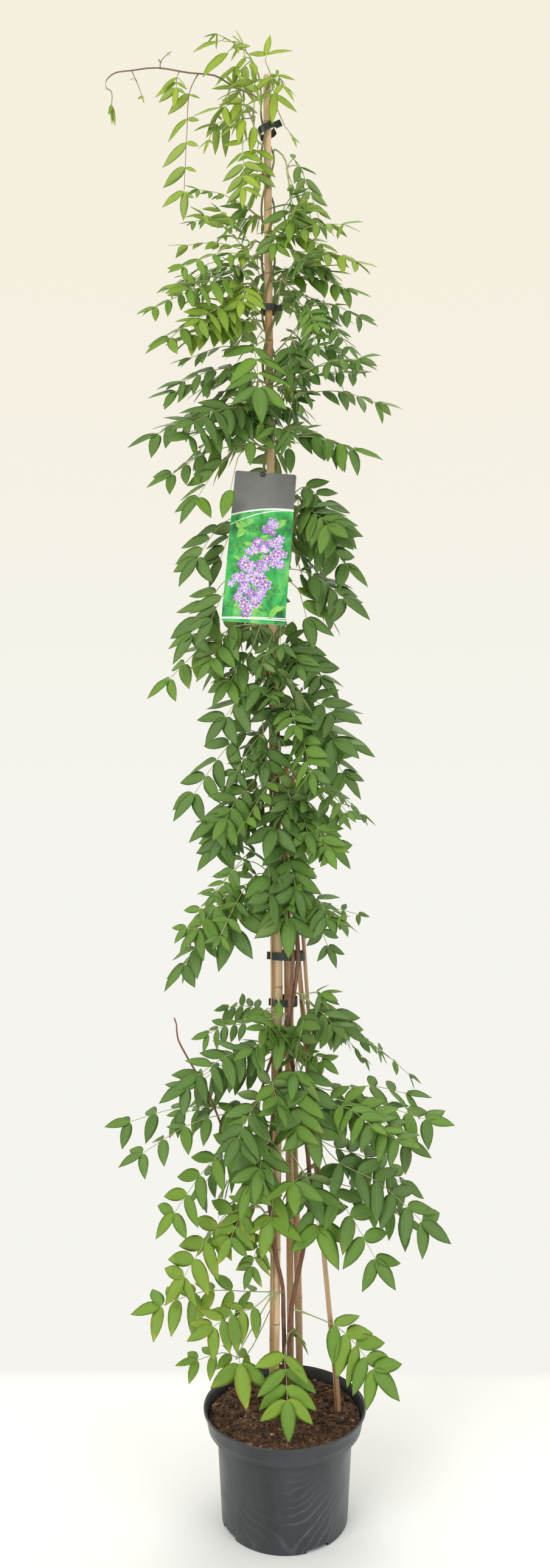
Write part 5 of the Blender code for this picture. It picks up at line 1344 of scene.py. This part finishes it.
def leaflet_plans(settings, draw, path, normal, tip, pairs, length, more=2):
    """Where the leaflets of a leaf stand: their roots, directions and sizes."""
    lengths = measure(path)
    begins = lengths[PATH_STEPS]
    ends = lengths[-1]
    if pairs > 1:
        fit = round((ends - begins) / (settings.spacing * length)) + 1
        pairs = max(pairs, min(fit, pairs + more))
    spacing = (ends - begins) / max(pairs - 1, 1)
    blade = [begins + spacing * pair for pair in range(pairs)] if pairs > 1 else [ends]
    frames = rib_frames(path, lengths, blade, normal)
    wide = settings.width * value_at(HEIGHT_WIDTH, tip.z)
    longest = min(length * settings.longer, value_at(HEIGHT_LONGEST, tip.z))
    drooping = LEAFLET_DROOP * value_at(HEIGHT_DROOP, tip.z)
    found = []
    for pair, (centre, ahead, side, _) in enumerate(frames if pairs else ()):
        shrink = 1.0 - END_SHRINK * abs(2 * pair / max(pairs - 1, 1) - 1)
        droop = UP - ahead * ahead.z
        for sign in (-1, 1):
            reach = longest * shrink * draw.uniform(0.88, 1.0)
            width = min(wide * reach, spacing * 1.15 if pairs > 1 else 1)
            hang = drooping * draw.uniform(0.2, 2.0)
            along = (side * sign * 0.86 + ahead * draw.uniform(0.22, 0.74)
                     - droop * hang).normalized()
            across = (ahead - along * ahead.dot(along)).normalized()
            across = (Matrix.Rotation(draw.uniform(-0.5, 0.5), 3, along) @ across).normalized()
            root = (centre + side * sign * RIB_HALF_WIDTH * 0.4
                    + ahead * draw.uniform(-0.0012, 0.0012))
            found.append(((root, along, across),
                          (reach, width, LEAFLET_SAG * draw.uniform(0.5, 1.4))))
    centre, ahead, side, _ = frames[-1]
    along = (tip - centre).normalized()
    across = (side - along * side.dot(along)).normalized()
    reach = (tip - centre).length
    found.append(((centre, along, across), (reach, wide * min(reach, length * 1.2), LEAFLET_SAG)))
    return found


def rib_line(path):
    """A leaf's rib: swollen at its foot and fine at its end."""
    radii = radii_along(path, PETIOLE_RADIUS * 0.85, RIB_HALF_WIDTH * 0.62)
    radii[0] = PETIOLE_RADIUS * 1.5
    radii[1] = PETIOLE_RADIUS * 1.2
    return path, radii


def leaflet_middle(plan):
    """The middle of a leaflet's length."""
    (root, along, _), (reach, _, _) = plan
    return root + along * reach * 0.5


def inside_box(plans):
    """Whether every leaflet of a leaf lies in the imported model's box, a little inside it."""
    low, high = CAD_BOX
    for (root, along, across), (reach, width, sag) in plans:
        end = root + along * reach - UP * sag * reach
        for spot in (end, root + along * reach * 0.45 + across * width * 0.5,
                     root + along * reach * 0.45 - across * width * 0.5):
            if any(not low[axis] + BOX_ROOM < spot[axis] < high[axis] - BOX_ROOM
                   for axis in range(3)):
                return False
    return True


def seen_at(spot):
    """Where the eye sees a point on the upright plane through the pot's middle, in centimetres."""
    part = -EYE.y / (spot.y - EYE.y)
    return (EYE.x + (spot.x - EYE.x) * part) / CM, (EYE.z + (spot.z - EYE.z) * part) / CM


def views_kept():
    """Ranges of that plane without further leaves: the card, the tall cane and the low canes."""
    low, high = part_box("label")
    left, foot = seen_at(Vector((low.x, low.y, low.z)))
    right, top = seen_at(Vector((high.x, low.y, high.z)))
    return ((left - 1, right + 1, foot - 1, top + 2), (-6.5, 1.0, 225.5, 233),
            (-5.4, -0.2, 184, 234), (-6, 12, 15, 44), (-3.5, 4.5, 78, 91))


def covers(spot, depth, kept):
    """Whether a point that stands before this depth covers one of the ranges kept in sight."""
    x, z = seen_at(spot)
    return spot.y < depth and any(left < x < right and foot < z < top
                                  for left, right, foot, top in kept)


def hides(plan, kept):
    """Whether a leaflet stands before one of the ranges kept in sight."""
    (root, along, _), (reach, _, _) = plan
    return any(covers(root + along * reach * part, -0.005, kept) for part in (0.3, 0.6, 0.9))


def further_leaf(settings, draw, root, leaf, taken, own, walls, kept):
    """One more leaf beside a packed one, turned about its root until it finds free room."""
    base, tip, pairs, length, normal = leaf
    for _ in range(MORE_TRIES):
        turn = draw.choice((-1, 1)) * draw.uniform(0.35, 2.1)
        spin = Matrix.Rotation(turn, 3, "Z")
        size = draw.uniform(0.72, 1.0)
        lean = UP * draw.uniform(-0.035, 0.055)
        new_base = root + spin @ (base - root) * size + lean * 0.5
        new_tip = root + spin @ (tip - root) * size + lean
        if abs(new_tip.x) > 0.9 * abs(tip.x) + 0.05:
            continue
        path = leaf_path(root, new_base, new_tip, length * size)
        if any(wall.find_nearest(spot, RIB_ROOM)[0] for spot in path[3:] for wall in walls):
            continue
        plans = leaflet_plans(settings, draw, path, (spin @ normal).normalized(), new_tip,
                              max(pairs, 2), length * draw.uniform(0.85, 1.0))
        middles = [leaflet_middle(plan) for plan in plans]
        close = sum(taken.find(spot)[2] < LEAFLET_ROOM for spot in middles)
        close += sum(any((spot - other).length < LEAFLET_ROOM for other in own) for spot in middles)
        near_wall = any(wall.find_nearest(spot, WALL_ROOM)[0] for spot in middles for wall in walls)
        if close > 1 or near_wall or not inside_box(plans):
            continue
        if any(covers(spot, 0.02, kept) for spot in middles + [new_tip]):
            continue
        return path, plans, middles
    return None


def lopsided(plans, part, end):
    """The leaflets on a rib's right made shorter, and its end leaflet longer and broader."""
    found = []
    for place_on, (reach, width, sag) in plans[:-1]:
        share = part if place_on[1].x > 0 else 1.0
        found.append((place_on, (reach * share, width * share, sag)))
    place_on, (reach, width, sag) = plans[-1]
    return found + [(place_on, (reach * end[0], width * end[1], sag))]


def young_tuft(draw, stem):
    """A bunch of small folded leaflets that hangs at a shoot's end."""
    ahead = (stem[-1] - stem[-2]).normalized()
    found = []
    for _ in range(draw.randint(6, 9)):
        turn = draw.uniform(0, 2 * math.pi)
        out = Vector((math.cos(turn), math.sin(turn), 0))
        along = (ahead * 0.5 + out * draw.uniform(0.25, 0.8)
                 - UP * draw.uniform(0.3, 1.2)).normalized()
        spin = Matrix.Rotation(draw.uniform(0, math.pi), 3, along)
        across = spin @ along.orthogonal().normalized()
        reach = draw.uniform(0.015, 0.032)
        root = stem[-1] - ahead * draw.uniform(0.0, 0.005)
        found.append(((root, along, across),
                      (reach, reach * draw.uniform(0.20, 0.30), LEAFLET_SAG)))
    return found


def hold_inside(bm):
    """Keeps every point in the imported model's box."""
    low, high = CAD_BOX
    for vert in bm.verts:
        vert.co = [min(max(vert.co[axis], low[axis]), high[axis]) for axis in range(3)]


def solid_points(node):
    """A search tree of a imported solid's corners."""
    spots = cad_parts[node].data.vertices
    tree = KDTree(len(spots))
    for index, vert in enumerate(spots):
        tree.insert(vert.co, index)
    tree.balance()
    return tree


def surfaces_of(nodes):
    """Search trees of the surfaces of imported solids."""
    found = []
    for node in nodes:
        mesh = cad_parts[node].data
        found.append(BVHTree.FromPolygons([v.co.copy() for v in mesh.vertices],
                                          [tuple(face.vertices) for face in mesh.polygons]))
    return found


def best_fit(options, corners, allowed):
    """The option whose points lie at their distance from a solid's corners, most nearly."""
    found = None
    for spots, reach, made in options:
        off = sum(abs(corners.find(spot)[2] - reach) for spot in spots) / len(spots)
        if found is None or off < found[0]:
            found = (off, made)
    if found[0] > allowed:
        raise RuntimeError(f"a shoot is {found[0]:.5f} m off its solid")
    return found[1]


def seated_stem(spots, surfaces, corners):
    """The stem's path in its packed place: its corners are a stem's radius away from it."""
    options = []
    for slide in slides():
        path = seat_stem(spots, slide, surfaces)
        options.append((path[:4], STEM_RADIUS, path))
    return best_fit(options, corners, STEM_OFF)


def placed_leaf(shoot_index, leaf_index, leaf, corners):
    """The leaf's plan in its packed place: its end leaflet's point is a corner of the solid."""
    options = []
    for attempt in range(TRIES):
        plan = leaf_plan(shoot_index, leaf_index, attempt, leaf)
        base, tip, _, length, _ = plan
        reach = min(length, (tip - base).length * 0.8)
        options.append(([tip - UP * LEAFLET_SAG * reach], 0.0, plan))
    return best_fit(options, corners, LEAF_OFF)


# How young each colour of leaf looks, and how far it fades; then what sets single shoots apart.
TONE_AGE = {"dark": 0.24, "mid": 0.44, "lime": 0.86, "yellowing": 0.60}
TONE_FADING = {"dark": 0.0, "mid": 0.25, "lime": 0.2, "yellowing": 0.8}
BROWN_STEMS = ("shoot_arch",)
YOUNG_LEAVES = {"shoot_arch": 0.30, "front_189": -0.10, "low_right": 0.22, "low_front": -0.14,
                "left_194": 0.14, "bush_left_77": -0.12, "bush_right_79": -0.10,
                "bush_right_72": -0.10, "bush_right_65": -0.06}
BROAD_ENDS = {"shoot_top": (1.25, 2.0)}
LOPSIDED = {"shoot_arch": 0.5}
TUFT_AGE = 0.95
FULLNESS = {"low_front": 0.3, "low_left": 0.5, "low_right": 0.0, "bush_left_46": 0.7,
            "bush_front_50": 0.5, "front_189": 0.0, "shoot_arch": 0.0, "shoot_top": 0.2,
            "shoot_right": 0.7, "crown": 0.3}


def age_at(name, tone, height):
    """How young a leaf looks, from its shoot and from its height on the plant."""
    return 0.5 * TONE_AGE[tone] + 0.5 * value_at(HEIGHT_AGE, height) + YOUNG_LEAVES.get(name, 0)


def packed_shoots(settings, surfaces, kept):
    """The stem of every side shoot and its packed leaves: root, sizes, rib and leaflets."""
    packed = []
    for shoot_index, (name, _, spots, leaves) in enumerate(SHOOTS):
        corners = solid_points(name)
        stem = seated_stem(spots, surfaces, corners)
        grown = []
        for leaf_index, leaf in enumerate(leaves):
            draw = random.Random(SEED * 7 + 1000 * shoot_index + leaf_index)
            root = nearest_on(stem, place(leaf[0], leaf[1], 2))
            base, tip, pairs, length, tilt = placed_leaf(shoot_index, leaf_index, leaf, corners)
            path = leaf_path(root, base, tip, length)
            normal = (leaf_normal(root, tip, leaf[4]) + VIEW * tilt).normalized()
            plans = leaflet_plans(settings, draw, path, normal, tip, pairs, length,
                                  0 if name in LOPSIDED else 2)
            plans = lopsided(plans, LOPSIDED.get(name, 1.0), BROAD_ENDS.get(name, (1.0, 1.0)))
            plans = [plan for plan in plans[:-1] if not hides(plan, kept[:2])] + plans[-1:]
            grown.append((root, (base, tip, pairs, length, normal), path, plans))
        packed.append((stem, grown))
    return packed


def make_shoots(settings):
    """Every leafy side shoot: its stem, the ribs of its leaves and their leaflets."""
    template = blade_template()
    walls = surfaces_of((*CANES, "vine_wood", "pot", "soil", "label"))
    kept = views_kept()
    blades = {tone: leaf_blade(settings, "leaf_" + tone) for tone in TONE_AGE}
    stalk = young_stem("leaf_stalk", settings.stalk, 0.35)
    brown = young_stem("brown_stalk", (0.20, 0.15, 0.09), 0.6)
    trunks = surfaces_of(("vine_wood", "vine_green_1", "vine_green_2"))
    packed = packed_shoots(settings, trunks, kept)
    middles = [leaflet_middle(plan) for _, grown in packed for leaf in grown for plan in leaf[3]]
    for shoot_index, (name, tone, spots, _) in enumerate(SHOOTS):
        stem, grown = packed[shoot_index]
        draw = random.Random(SEED * 11 + shoot_index)
        taken = KDTree(len(middles))
        for index, spot in enumerate(middles):
            taken.insert(spot, index)
        taken.balance()
        made = [(path, plans) for _, _, path, plans in grown]
        own = []
        stem_lengths = measure(stem)
        for root, leaf, path, plans in grown:
            full = settings.fullness * FULLNESS.get(name, value_at(HEIGHT_FULLNESS, root.z))
            for _ in range(int(full + draw.random())):
                start = walk(stem, stem_lengths, stem_lengths[-1] * draw.uniform(0.35, 0.97))[0]
                found = further_leaf(settings, draw, start, leaf, taken, own, walls, kept)
                if found:
                    made.append(found[:2])
                    own.extend(found[2])
        middles.extend(own)
        bm = bmesh.new()
        bm.loops.layers.uv.new("blade")
        bm.loops.layers.uv.new("tone")
        slim = 0.75 if len(spots) < 5 else 0.5
        smooth_stem = curve_through(stem, 3)
        lines = [(smooth_stem, radii_along(smooth_stem, STEM_RADIUS, STEM_RADIUS * slim * 0.8))]
        for path, plans in made:
            lines.append(rib_line(path))
            age = age_at(name, tone, path[-1].z) + draw.uniform(-0.13, 0.14)
            for place_on, size in plans:
                state = (age, TONE_FADING[tone])
                add_leaflet(bm, template, settings, draw, place_on, size, state)
        if stem[-1].z > 0.6 and draw.random() < 0.75:
            tuft = [plan for plan in young_tuft(draw, stem)
                    if not hides(plan, kept) and inside_box([plan])]
            for place_on, size in tuft:
                add_leaflet(bm, template, settings, draw, place_on, size, (TUFT_AGE, 0.0))
        add_mesh(bm, tubes(lines, 1), 1)
        hold_inside(bm)
        finish = brown if name in BROWN_STEMS else stalk
        add_piece("leaves_" + name, bm, [blades[tone], finish], [name])
    bpy.data.meshes.remove(template)


def strap_shape(spot, wide, deep, height, wall, tab, slope):
    """A thin strap bent round the stems, with a ribbed grip at its end."""
    hand = math.copysign(1.0, tab)
    ahead = Vector((-math.sin(slope), 0, math.cos(slope)))
    side = ahead.cross(VIEW).normalized() * hand
    bm = bmesh.new()
    centre = place(*spot)
    line = []
    for step in range(STRAP_STEPS + 1):
        turn = STRAP_OPENING / 2 + (2 * math.pi - STRAP_OPENING) * step / STRAP_STEPS
        line.append(centre + side * boxy(math.cos(turn)) * wide
                    + VIEW * boxy(math.sin(turn)) * deep)
    line.insert(0, line[0] + side * abs(tab))
    ends = [bm.verts.new(line[0] - ahead * height / 2), bm.verts.new(line[0] + ahead * height / 2)]
    edge = bm.edges.new(ends)
    for spot_on in line[1:]:
        made = bmesh.ops.extrude_edge_only(bm, edges=[edge])["geom"]
        edge = next(item for item in made if isinstance(item, bmesh.types.BMEdge))
        low, high = sorted((v for v in edge.verts), key=lambda v: v.co.dot(ahead))
        low.co = spot_on - ahead * height / 2
        high.co = spot_on + ahead * height / 2
    bmesh.ops.recalc_face_normals(bm, faces=bm.faces)
    face = min(bm.faces, key=lambda f: f.calc_center_median().y)
    if face.normal.y > 0:
        bmesh.ops.reverse_faces(bm, faces=bm.faces)
    bmesh.ops.solidify(bm, geom=bm.faces[:], thickness=-wall)
    bmesh.ops.recalc_face_normals(bm, faces=bm.faces)
    turned = Matrix.Rotation(-slope, 4, "Y")
    grip = line[0].lerp(line[1], 0.5)
    for rib in range(GRIP_RIBS):
        shift = side * (rib - 2) * abs(tab) * 0.19 + VIEW * wall * 0.6
        size = Matrix.Diagonal((abs(tab) * 0.09, wall * 2.0, height * 0.98, 1))
        bmesh.ops.create_cube(bm, size=1.0,
                              matrix=Matrix.Translation(grip + shift) @ turned @ size)
    return bm


def make_straps(settings):
    """The dark plastic straps that hold the stems to the canes."""
    finish = strap_plastic(settings)
    for name, measures in CLIPS.items():
        bm = strap_shape(*measures)
        add_piece("strap_" + name.split("_")[1], bm, [finish], [name], sharp=40)


def make_tie(settings):
    """The teal tie: a thin round tube round the old stems."""
    path = curve_through([place(*spot) for spot in TIE_SPOTS], 8)
    strip = tubes([(path, [TIE_RADIUS] * len(path))], 3)
    add_piece("teal_tie", strip, [tie_plastic(settings)], ["tie"])


def card_matrix():
    """Carries a drawing on the XY plane, its front along +Z, to the card's middle."""
    centre, across, rise, out = card_frame()
    turn = Matrix((across, rise, out)).transposed().to_4x4()
    return Matrix.Translation(centre) @ turn


def card_body():
    """The card, with round corners and a UV map over its front."""
    bm = bmesh.new()
    bmesh.ops.create_grid(bm, x_segments=1, y_segments=1, size=1.0,
                          matrix=Matrix.Diagonal((CARD_HALF_WIDTH, CARD_HALF_HEIGHT, 1, 1)))
    bmesh.ops.bevel(bm, geom=bm.verts[:], offset=CARD_ROUND, affect="VERTICES", segments=6,
                    profile=0.5, material=-1)
    flat = bmesh.ops.extrude_face_region(bm, geom=bm.faces[:])["geom"]
    raised = [item for item in flat if isinstance(item, bmesh.types.BMVert)]
    for vert in bm.verts:
        vert.co.z = -CARD_THICKNESS / 2
    for vert in raised:
        vert.co.z = CARD_THICKNESS / 2
    bmesh.ops.recalc_face_normals(bm, faces=bm.faces)
    layer = bm.loops.layers.uv.new("print")
    for face in bm.faces:
        face.material_index = 0 if face.normal.z > 0.5 else 1
        for loop in face.loops:
            x, y, _ = loop.vert.co
            loop[layer].uv = (x / CARD_HALF_WIDTH / 2 + 0.5, y / CARD_HALF_HEIGHT / 2 + 0.5)
    bm.transform(card_matrix())
    return bm


def add_print(bm, matrix, sides, index, pinch=0.0, heel=0.0):
    """A thin patch of ink: round, or pinched to a point at its end and at its heel."""
    made = bmesh.ops.create_cone(bm, cap_ends=True, segments=sides, radius1=1, radius2=0.94,
                                 depth=1)
    for vert in made["verts"]:
        x = vert.co.x
        vert.co.y *= 1 - (pinch * x ** 3 if x > 0 else -heel * x ** 3)
        vert.co = matrix @ vert.co
        for face in vert.link_faces:
            face.material_index = index


# The card's inks, each dark and pale: three for petals, one for hearts, two for leaves.
INKS = {"ink_violet": ((0.25, 0.14, 0.52), (0.52, 0.38, 0.78)),
        "ink_lilac": ((0.48, 0.34, 0.70), (0.76, 0.66, 0.88)),
        "ink_plum": ((0.20, 0.07, 0.30), (0.45, 0.22, 0.52)),
        "ink_cream": ((0.62, 0.58, 0.22), (0.85, 0.84, 0.55)),
        "ink_leaf": ((0.02, 0.20, 0.04), (0.08, 0.42, 0.08)),
        "ink_new_leaf": ((0.12, 0.42, 0.06), (0.30, 0.62, 0.12))}
INK_HEIGHT = 0.00008
PRINT_ACROSS = (-0.041, 0.041)
PRINT_UP = (-0.119, 0.044)


def print_leaf(ink, draw, base, number, level):
    """A pointed leaf somewhere on the card's field."""
    x = draw.uniform(*PRINT_ACROSS)
    y = draw.uniform(*PRINT_UP)
    spin = Matrix.Rotation(draw.uniform(0, 6.28), 4, "Z")
    length = draw.uniform(0.008, 0.016)
    reach = min(length, 0.0495 - abs(x))
    size = Matrix.Diagonal((reach, reach * draw.uniform(0.30, 0.46), INK_HEIGHT, 1))
    lay = Matrix.Translation((x, y, level + number * 0.000002))
    add_print(ink, base @ lay @ spin @ size, 12, 4 + number % 2, 0.95, 0.6)


def print_flower(ink, draw, base, number, level):
    """A five-petalled flower near the slanting line on which the flowers scatter."""
    part = draw.random()
    band = draw.uniform(-1, 1)
    x = -0.030 + 0.060 * part + band * 0.014
    y = -0.098 + 0.118 * part - band * 0.034 + draw.uniform(-0.006, 0.006)
    size = draw.uniform(0.0046, 0.0080)
    x = min(max(x, size * 1.4 - 0.049), 0.049 - size * 1.4)
    high = level + 0.00012 + number * 0.000004
    turn = draw.uniform(0, 6.28)
    tint = draw.choice((0, 0, 1, 1, 2))
    for petal in range(5):
        spin = Matrix.Rotation(turn + petal * 2 * math.pi / 5, 4, "Z")
        for inner, shade in ((1.0, tint), (0.62, (tint + 1) % 3)):
            lay = Matrix.Translation((x, y, high + (1 - inner) * 0.00010))
            out = Matrix.Translation((size * 0.66, 0, 0))
            grow = Matrix.Diagonal((size * 0.66 * inner, size * 0.48 * inner, INK_HEIGHT, 1))
            add_print(ink, base @ (lay @ spin @ out) @ grow, 9, shade, 0.0, 0.7)
    heart = Matrix.Diagonal((size * 0.26, size * 0.26, INK_HEIGHT, 1))
    add_print(ink, base @ (Matrix.Translation((x, y, high + 0.00008)) @ heart), 8, 3)


# The peg's head: how far each point stands out of the card, and the radius there.
PEG_HEAD = ((0.0036, 0.0008), (0.0035, 0.0022), (0.0031, 0.0034), (0.0022, 0.0042),
            (0.0012, 0.0045), (0.0006, 0.0046), (0.0, 0.0046), (-0.0002, 0.0024))
PEG_SHAFT = 0.0021
PEG_RISE = 0.006
PEG_ASIDE = 0.003


def make_peg(settings):
    """The peg through the card, whose shaft bends up and seats on the tall cane."""
    cane_radius, axis = cane_axis("cane_1")
    centre, _, _, out = card_frame()
    peg = peg_point(centre, out)
    face = CARD_THICKNESS / 2 + GAP
    cane = point_at_height(axis, peg.z + PEG_RISE)
    ahead = math.sqrt((cane_radius + GAP) ** 2 - PEG_ASIDE ** 2)
    seat = cane + Vector((-PEG_ASIDE, -ahead, 0))
    path = [peg + out * (face + rise) for rise, _ in PEG_HEAD]
    radii = [radius for _, radius in PEG_HEAD]
    bend = curve_through([peg - out * 0.006, peg.lerp(seat, 0.35) + UP * 0.004,
                          peg.lerp(seat, 0.7) + UP * 0.004, seat], 5)
    shape = tubes([(path + bend, radii + [PEG_SHAFT] * len(bend))], 5)
    add_piece("card_peg", shape, [strap_plastic(settings)], ["label_peg"], sharp=50)


def make_card(settings):
    """The plain card with a drawing of leaves and five-petalled flowers, and its peg."""
    finishes = [card_front(settings),
                card_print("card_back", (0.62, 0.63, 0.62), (0.72, 0.73, 0.72))]
    add_piece("card", card_body(), finishes, ["label"], smooth=False)
    draw = random.Random(SEED + 5)
    base = card_matrix()
    ink = bmesh.new()
    level = CARD_THICKNESS / 2 + 0.00006
    for number in range(PRINTED_LEAVES):
        print_leaf(ink, draw, base, number, level)
    for number in range(settings.flowers):
        print_flower(ink, draw, base, number, level)
    inks = [card_print(name, *tones) for name, tones in INKS.items()]
    add_piece("card_drawing", ink, inks, smooth=False)
    make_peg(settings)


def add_area_light(name, spot, target, size, power, colour):
    """A soft square light that looks at a target."""
    data = bpy.data.lights.new(name, "AREA")
    data.shape = "RECTANGLE"
    data.size = size[0]
    data.size_y = size[1]
    data.energy = power
    data.color = colour
    lamp = put_in_scene(name, data)
    lamp.location = spot
    lamp.rotation_euler = (Vector(target) - Vector(spot)).to_track_quat("-Z", "Y").to_euler()


def make_stage(settings):
    """The floor, the even backdrop, soft lights and the camera."""
    bm = bmesh.new()
    bmesh.ops.create_circle(bm, cap_ends=True, segments=96, radius=FLOOR_RADIUS)
    mesh = as_mesh(bm, "floor")
    mesh.materials.append(floor_cloth(settings))
    floor = put_in_scene("floor", mesh)
    for name, power, spot, height, size, colour in (
            ("key", settings.key, (-2.2, -3.0, 3.1), 1.2, (2.4, 2.4), (1.0, 0.985, 0.96)),
            ("fill", settings.fill, (2.6, -2.2, 1.7), 1.1, (2.2, 2.8), (0.96, 0.98, 1.0)),
            ("top", settings.fill, (0.3, 1.6, 3.6), 1.4, (2.5, 1.5), (1.0, 0.99, 0.96))):
        add_area_light(name, spot, (0, 0, height), size, power, colour)
    world = bpy.data.worlds.new("studio")
    world.use_nodes = True
    tree = world.node_tree
    _, depth, height = parts_of(tree, add_node(tree, "TexCoord").outputs["Generated"])
    colour = blend(tree, span(tree, height, 0.02, 0.50), settings.wall, settings.high)
    colour = blend(tree, span(tree, depth, -0.45, -0.80), colour, settings.room)
    tree.links.new(colour, tree.nodes["Background"].inputs["Color"])
    scene = bpy.context.scene
    scene.world = world
    scene.view_settings.view_transform = "Standard"
    data = bpy.data.cameras.new("camera")
    data.lens = settings.lens
    data.sensor_width = 36
    camera = put_in_scene("camera", data)
    camera.location = EYE
    camera.rotation_euler = (math.pi / 2 + settings.pitch, 0, 0)
    scene.camera = camera


class WISTERIA_OT_pot(bpy.types.Operator):
    """Makes the container with its rim band and foot notches"""
    bl_idname = "wisteria.pot"
    bl_label = "Pot"

    def execute(self, context):
        make_pot(context.scene.wisteria_pot)
        return {"FINISHED"}


class WISTERIA_OT_peat(bpy.types.Operator):
    """Fills the pot with lumpy, fibrous peat"""
    bl_idname = "wisteria.peat"
    bl_label = "Peat"

    def execute(self, context):
        make_peat(context.scene.wisteria_pot)
        return {"FINISHED"}


class WISTERIA_OT_canes(bpy.types.Operator):
    """Makes the bamboo canes"""
    bl_idname = "wisteria.canes"
    bl_label = "Canes"

    def execute(self, context):
        make_canes(context.scene.wisteria_stem)
        return {"FINISHED"}


class WISTERIA_OT_stems(bpy.types.Operator):
    """Makes the old and young twining stems"""
    bl_idname = "wisteria.stems"
    bl_label = "Stems"

    def execute(self, context):
        make_stems(context.scene.wisteria_stem)
        return {"FINISHED"}


class WISTERIA_OT_shoots(bpy.types.Operator):
    """Makes the leafy side shoots"""
    bl_idname = "wisteria.shoots"
    bl_label = "Leafy shoots"

    def execute(self, context):
        make_shoots(context.scene.wisteria_leaf)
        return {"FINISHED"}


class WISTERIA_OT_straps(bpy.types.Operator):
    """Makes the plastic straps and the tie"""
    bl_idname = "wisteria.straps"
    bl_label = "Straps and tie"

    def execute(self, context):
        make_straps(context.scene.wisteria_trim)
        make_tie(context.scene.wisteria_trim)
        return {"FINISHED"}


class WISTERIA_OT_card(bpy.types.Operator):
    """Makes the card, its drawing and its peg"""
    bl_idname = "wisteria.card"
    bl_label = "Card"

    def execute(self, context):
        make_card(context.scene.wisteria_trim)
        return {"FINISHED"}


class WISTERIA_OT_stage(bpy.types.Operator):
    """Sets the floor, the lights and the camera"""
    bl_idname = "wisteria.stage"
    bl_label = "Stage"

    def execute(self, context):
        make_stage(context.scene.wisteria_stage)
        return {"FINISHED"}


OPERATORS = (WISTERIA_OT_pot, WISTERIA_OT_peat, WISTERIA_OT_canes, WISTERIA_OT_stems,
             WISTERIA_OT_shoots, WISTERIA_OT_straps, WISTERIA_OT_card, WISTERIA_OT_stage)
GROUPS = {"wisteria_pot": PotSettings, "wisteria_stem": StemSettings, "wisteria_leaf": LeafSettings,
          "wisteria_trim": TrimSettings, "wisteria_stage": StageSettings}


class WISTERIA_PT_panel(bpy.types.Panel):
    """Lists the plant's settings and the operators that make its pieces"""
    bl_label = "Potted Wisteria"
    bl_idname = "WISTERIA_PT_panel"
    bl_space_type = "VIEW_3D"
    bl_region_type = "UI"
    bl_category = "Wisteria"

    def draw(self, context):
        for key, group in GROUPS.items():
            box = self.layout.box()
            for name in group.__annotations__:
                box.prop(getattr(context.scene, key), name)
        for operator in OPERATORS:
            self.layout.operator(operator.bl_idname)


def register():
    for made in (*GROUPS.values(), *OPERATORS, WISTERIA_PT_panel):
        bpy.utils.register_class(made)
    for key, group in GROUPS.items():
        setattr(bpy.types.Scene, key, PointerProperty(type=group))


def unregister():
    for key in GROUPS:
        delattr(bpy.types.Scene, key)
    for made in (WISTERIA_PT_panel, *reversed(OPERATORS), *GROUPS.values()):
        bpy.utils.unregister_class(made)


def main():
    register()
    bpy.ops.wisteria.pot()
    bpy.ops.wisteria.peat()
    bpy.ops.wisteria.canes()
    bpy.ops.wisteria.stems()
    bpy.ops.wisteria.shoots()
    bpy.ops.wisteria.straps()
    bpy.ops.wisteria.card()
    bpy.ops.wisteria.stage()


if __name__ == "__main__":
    main()
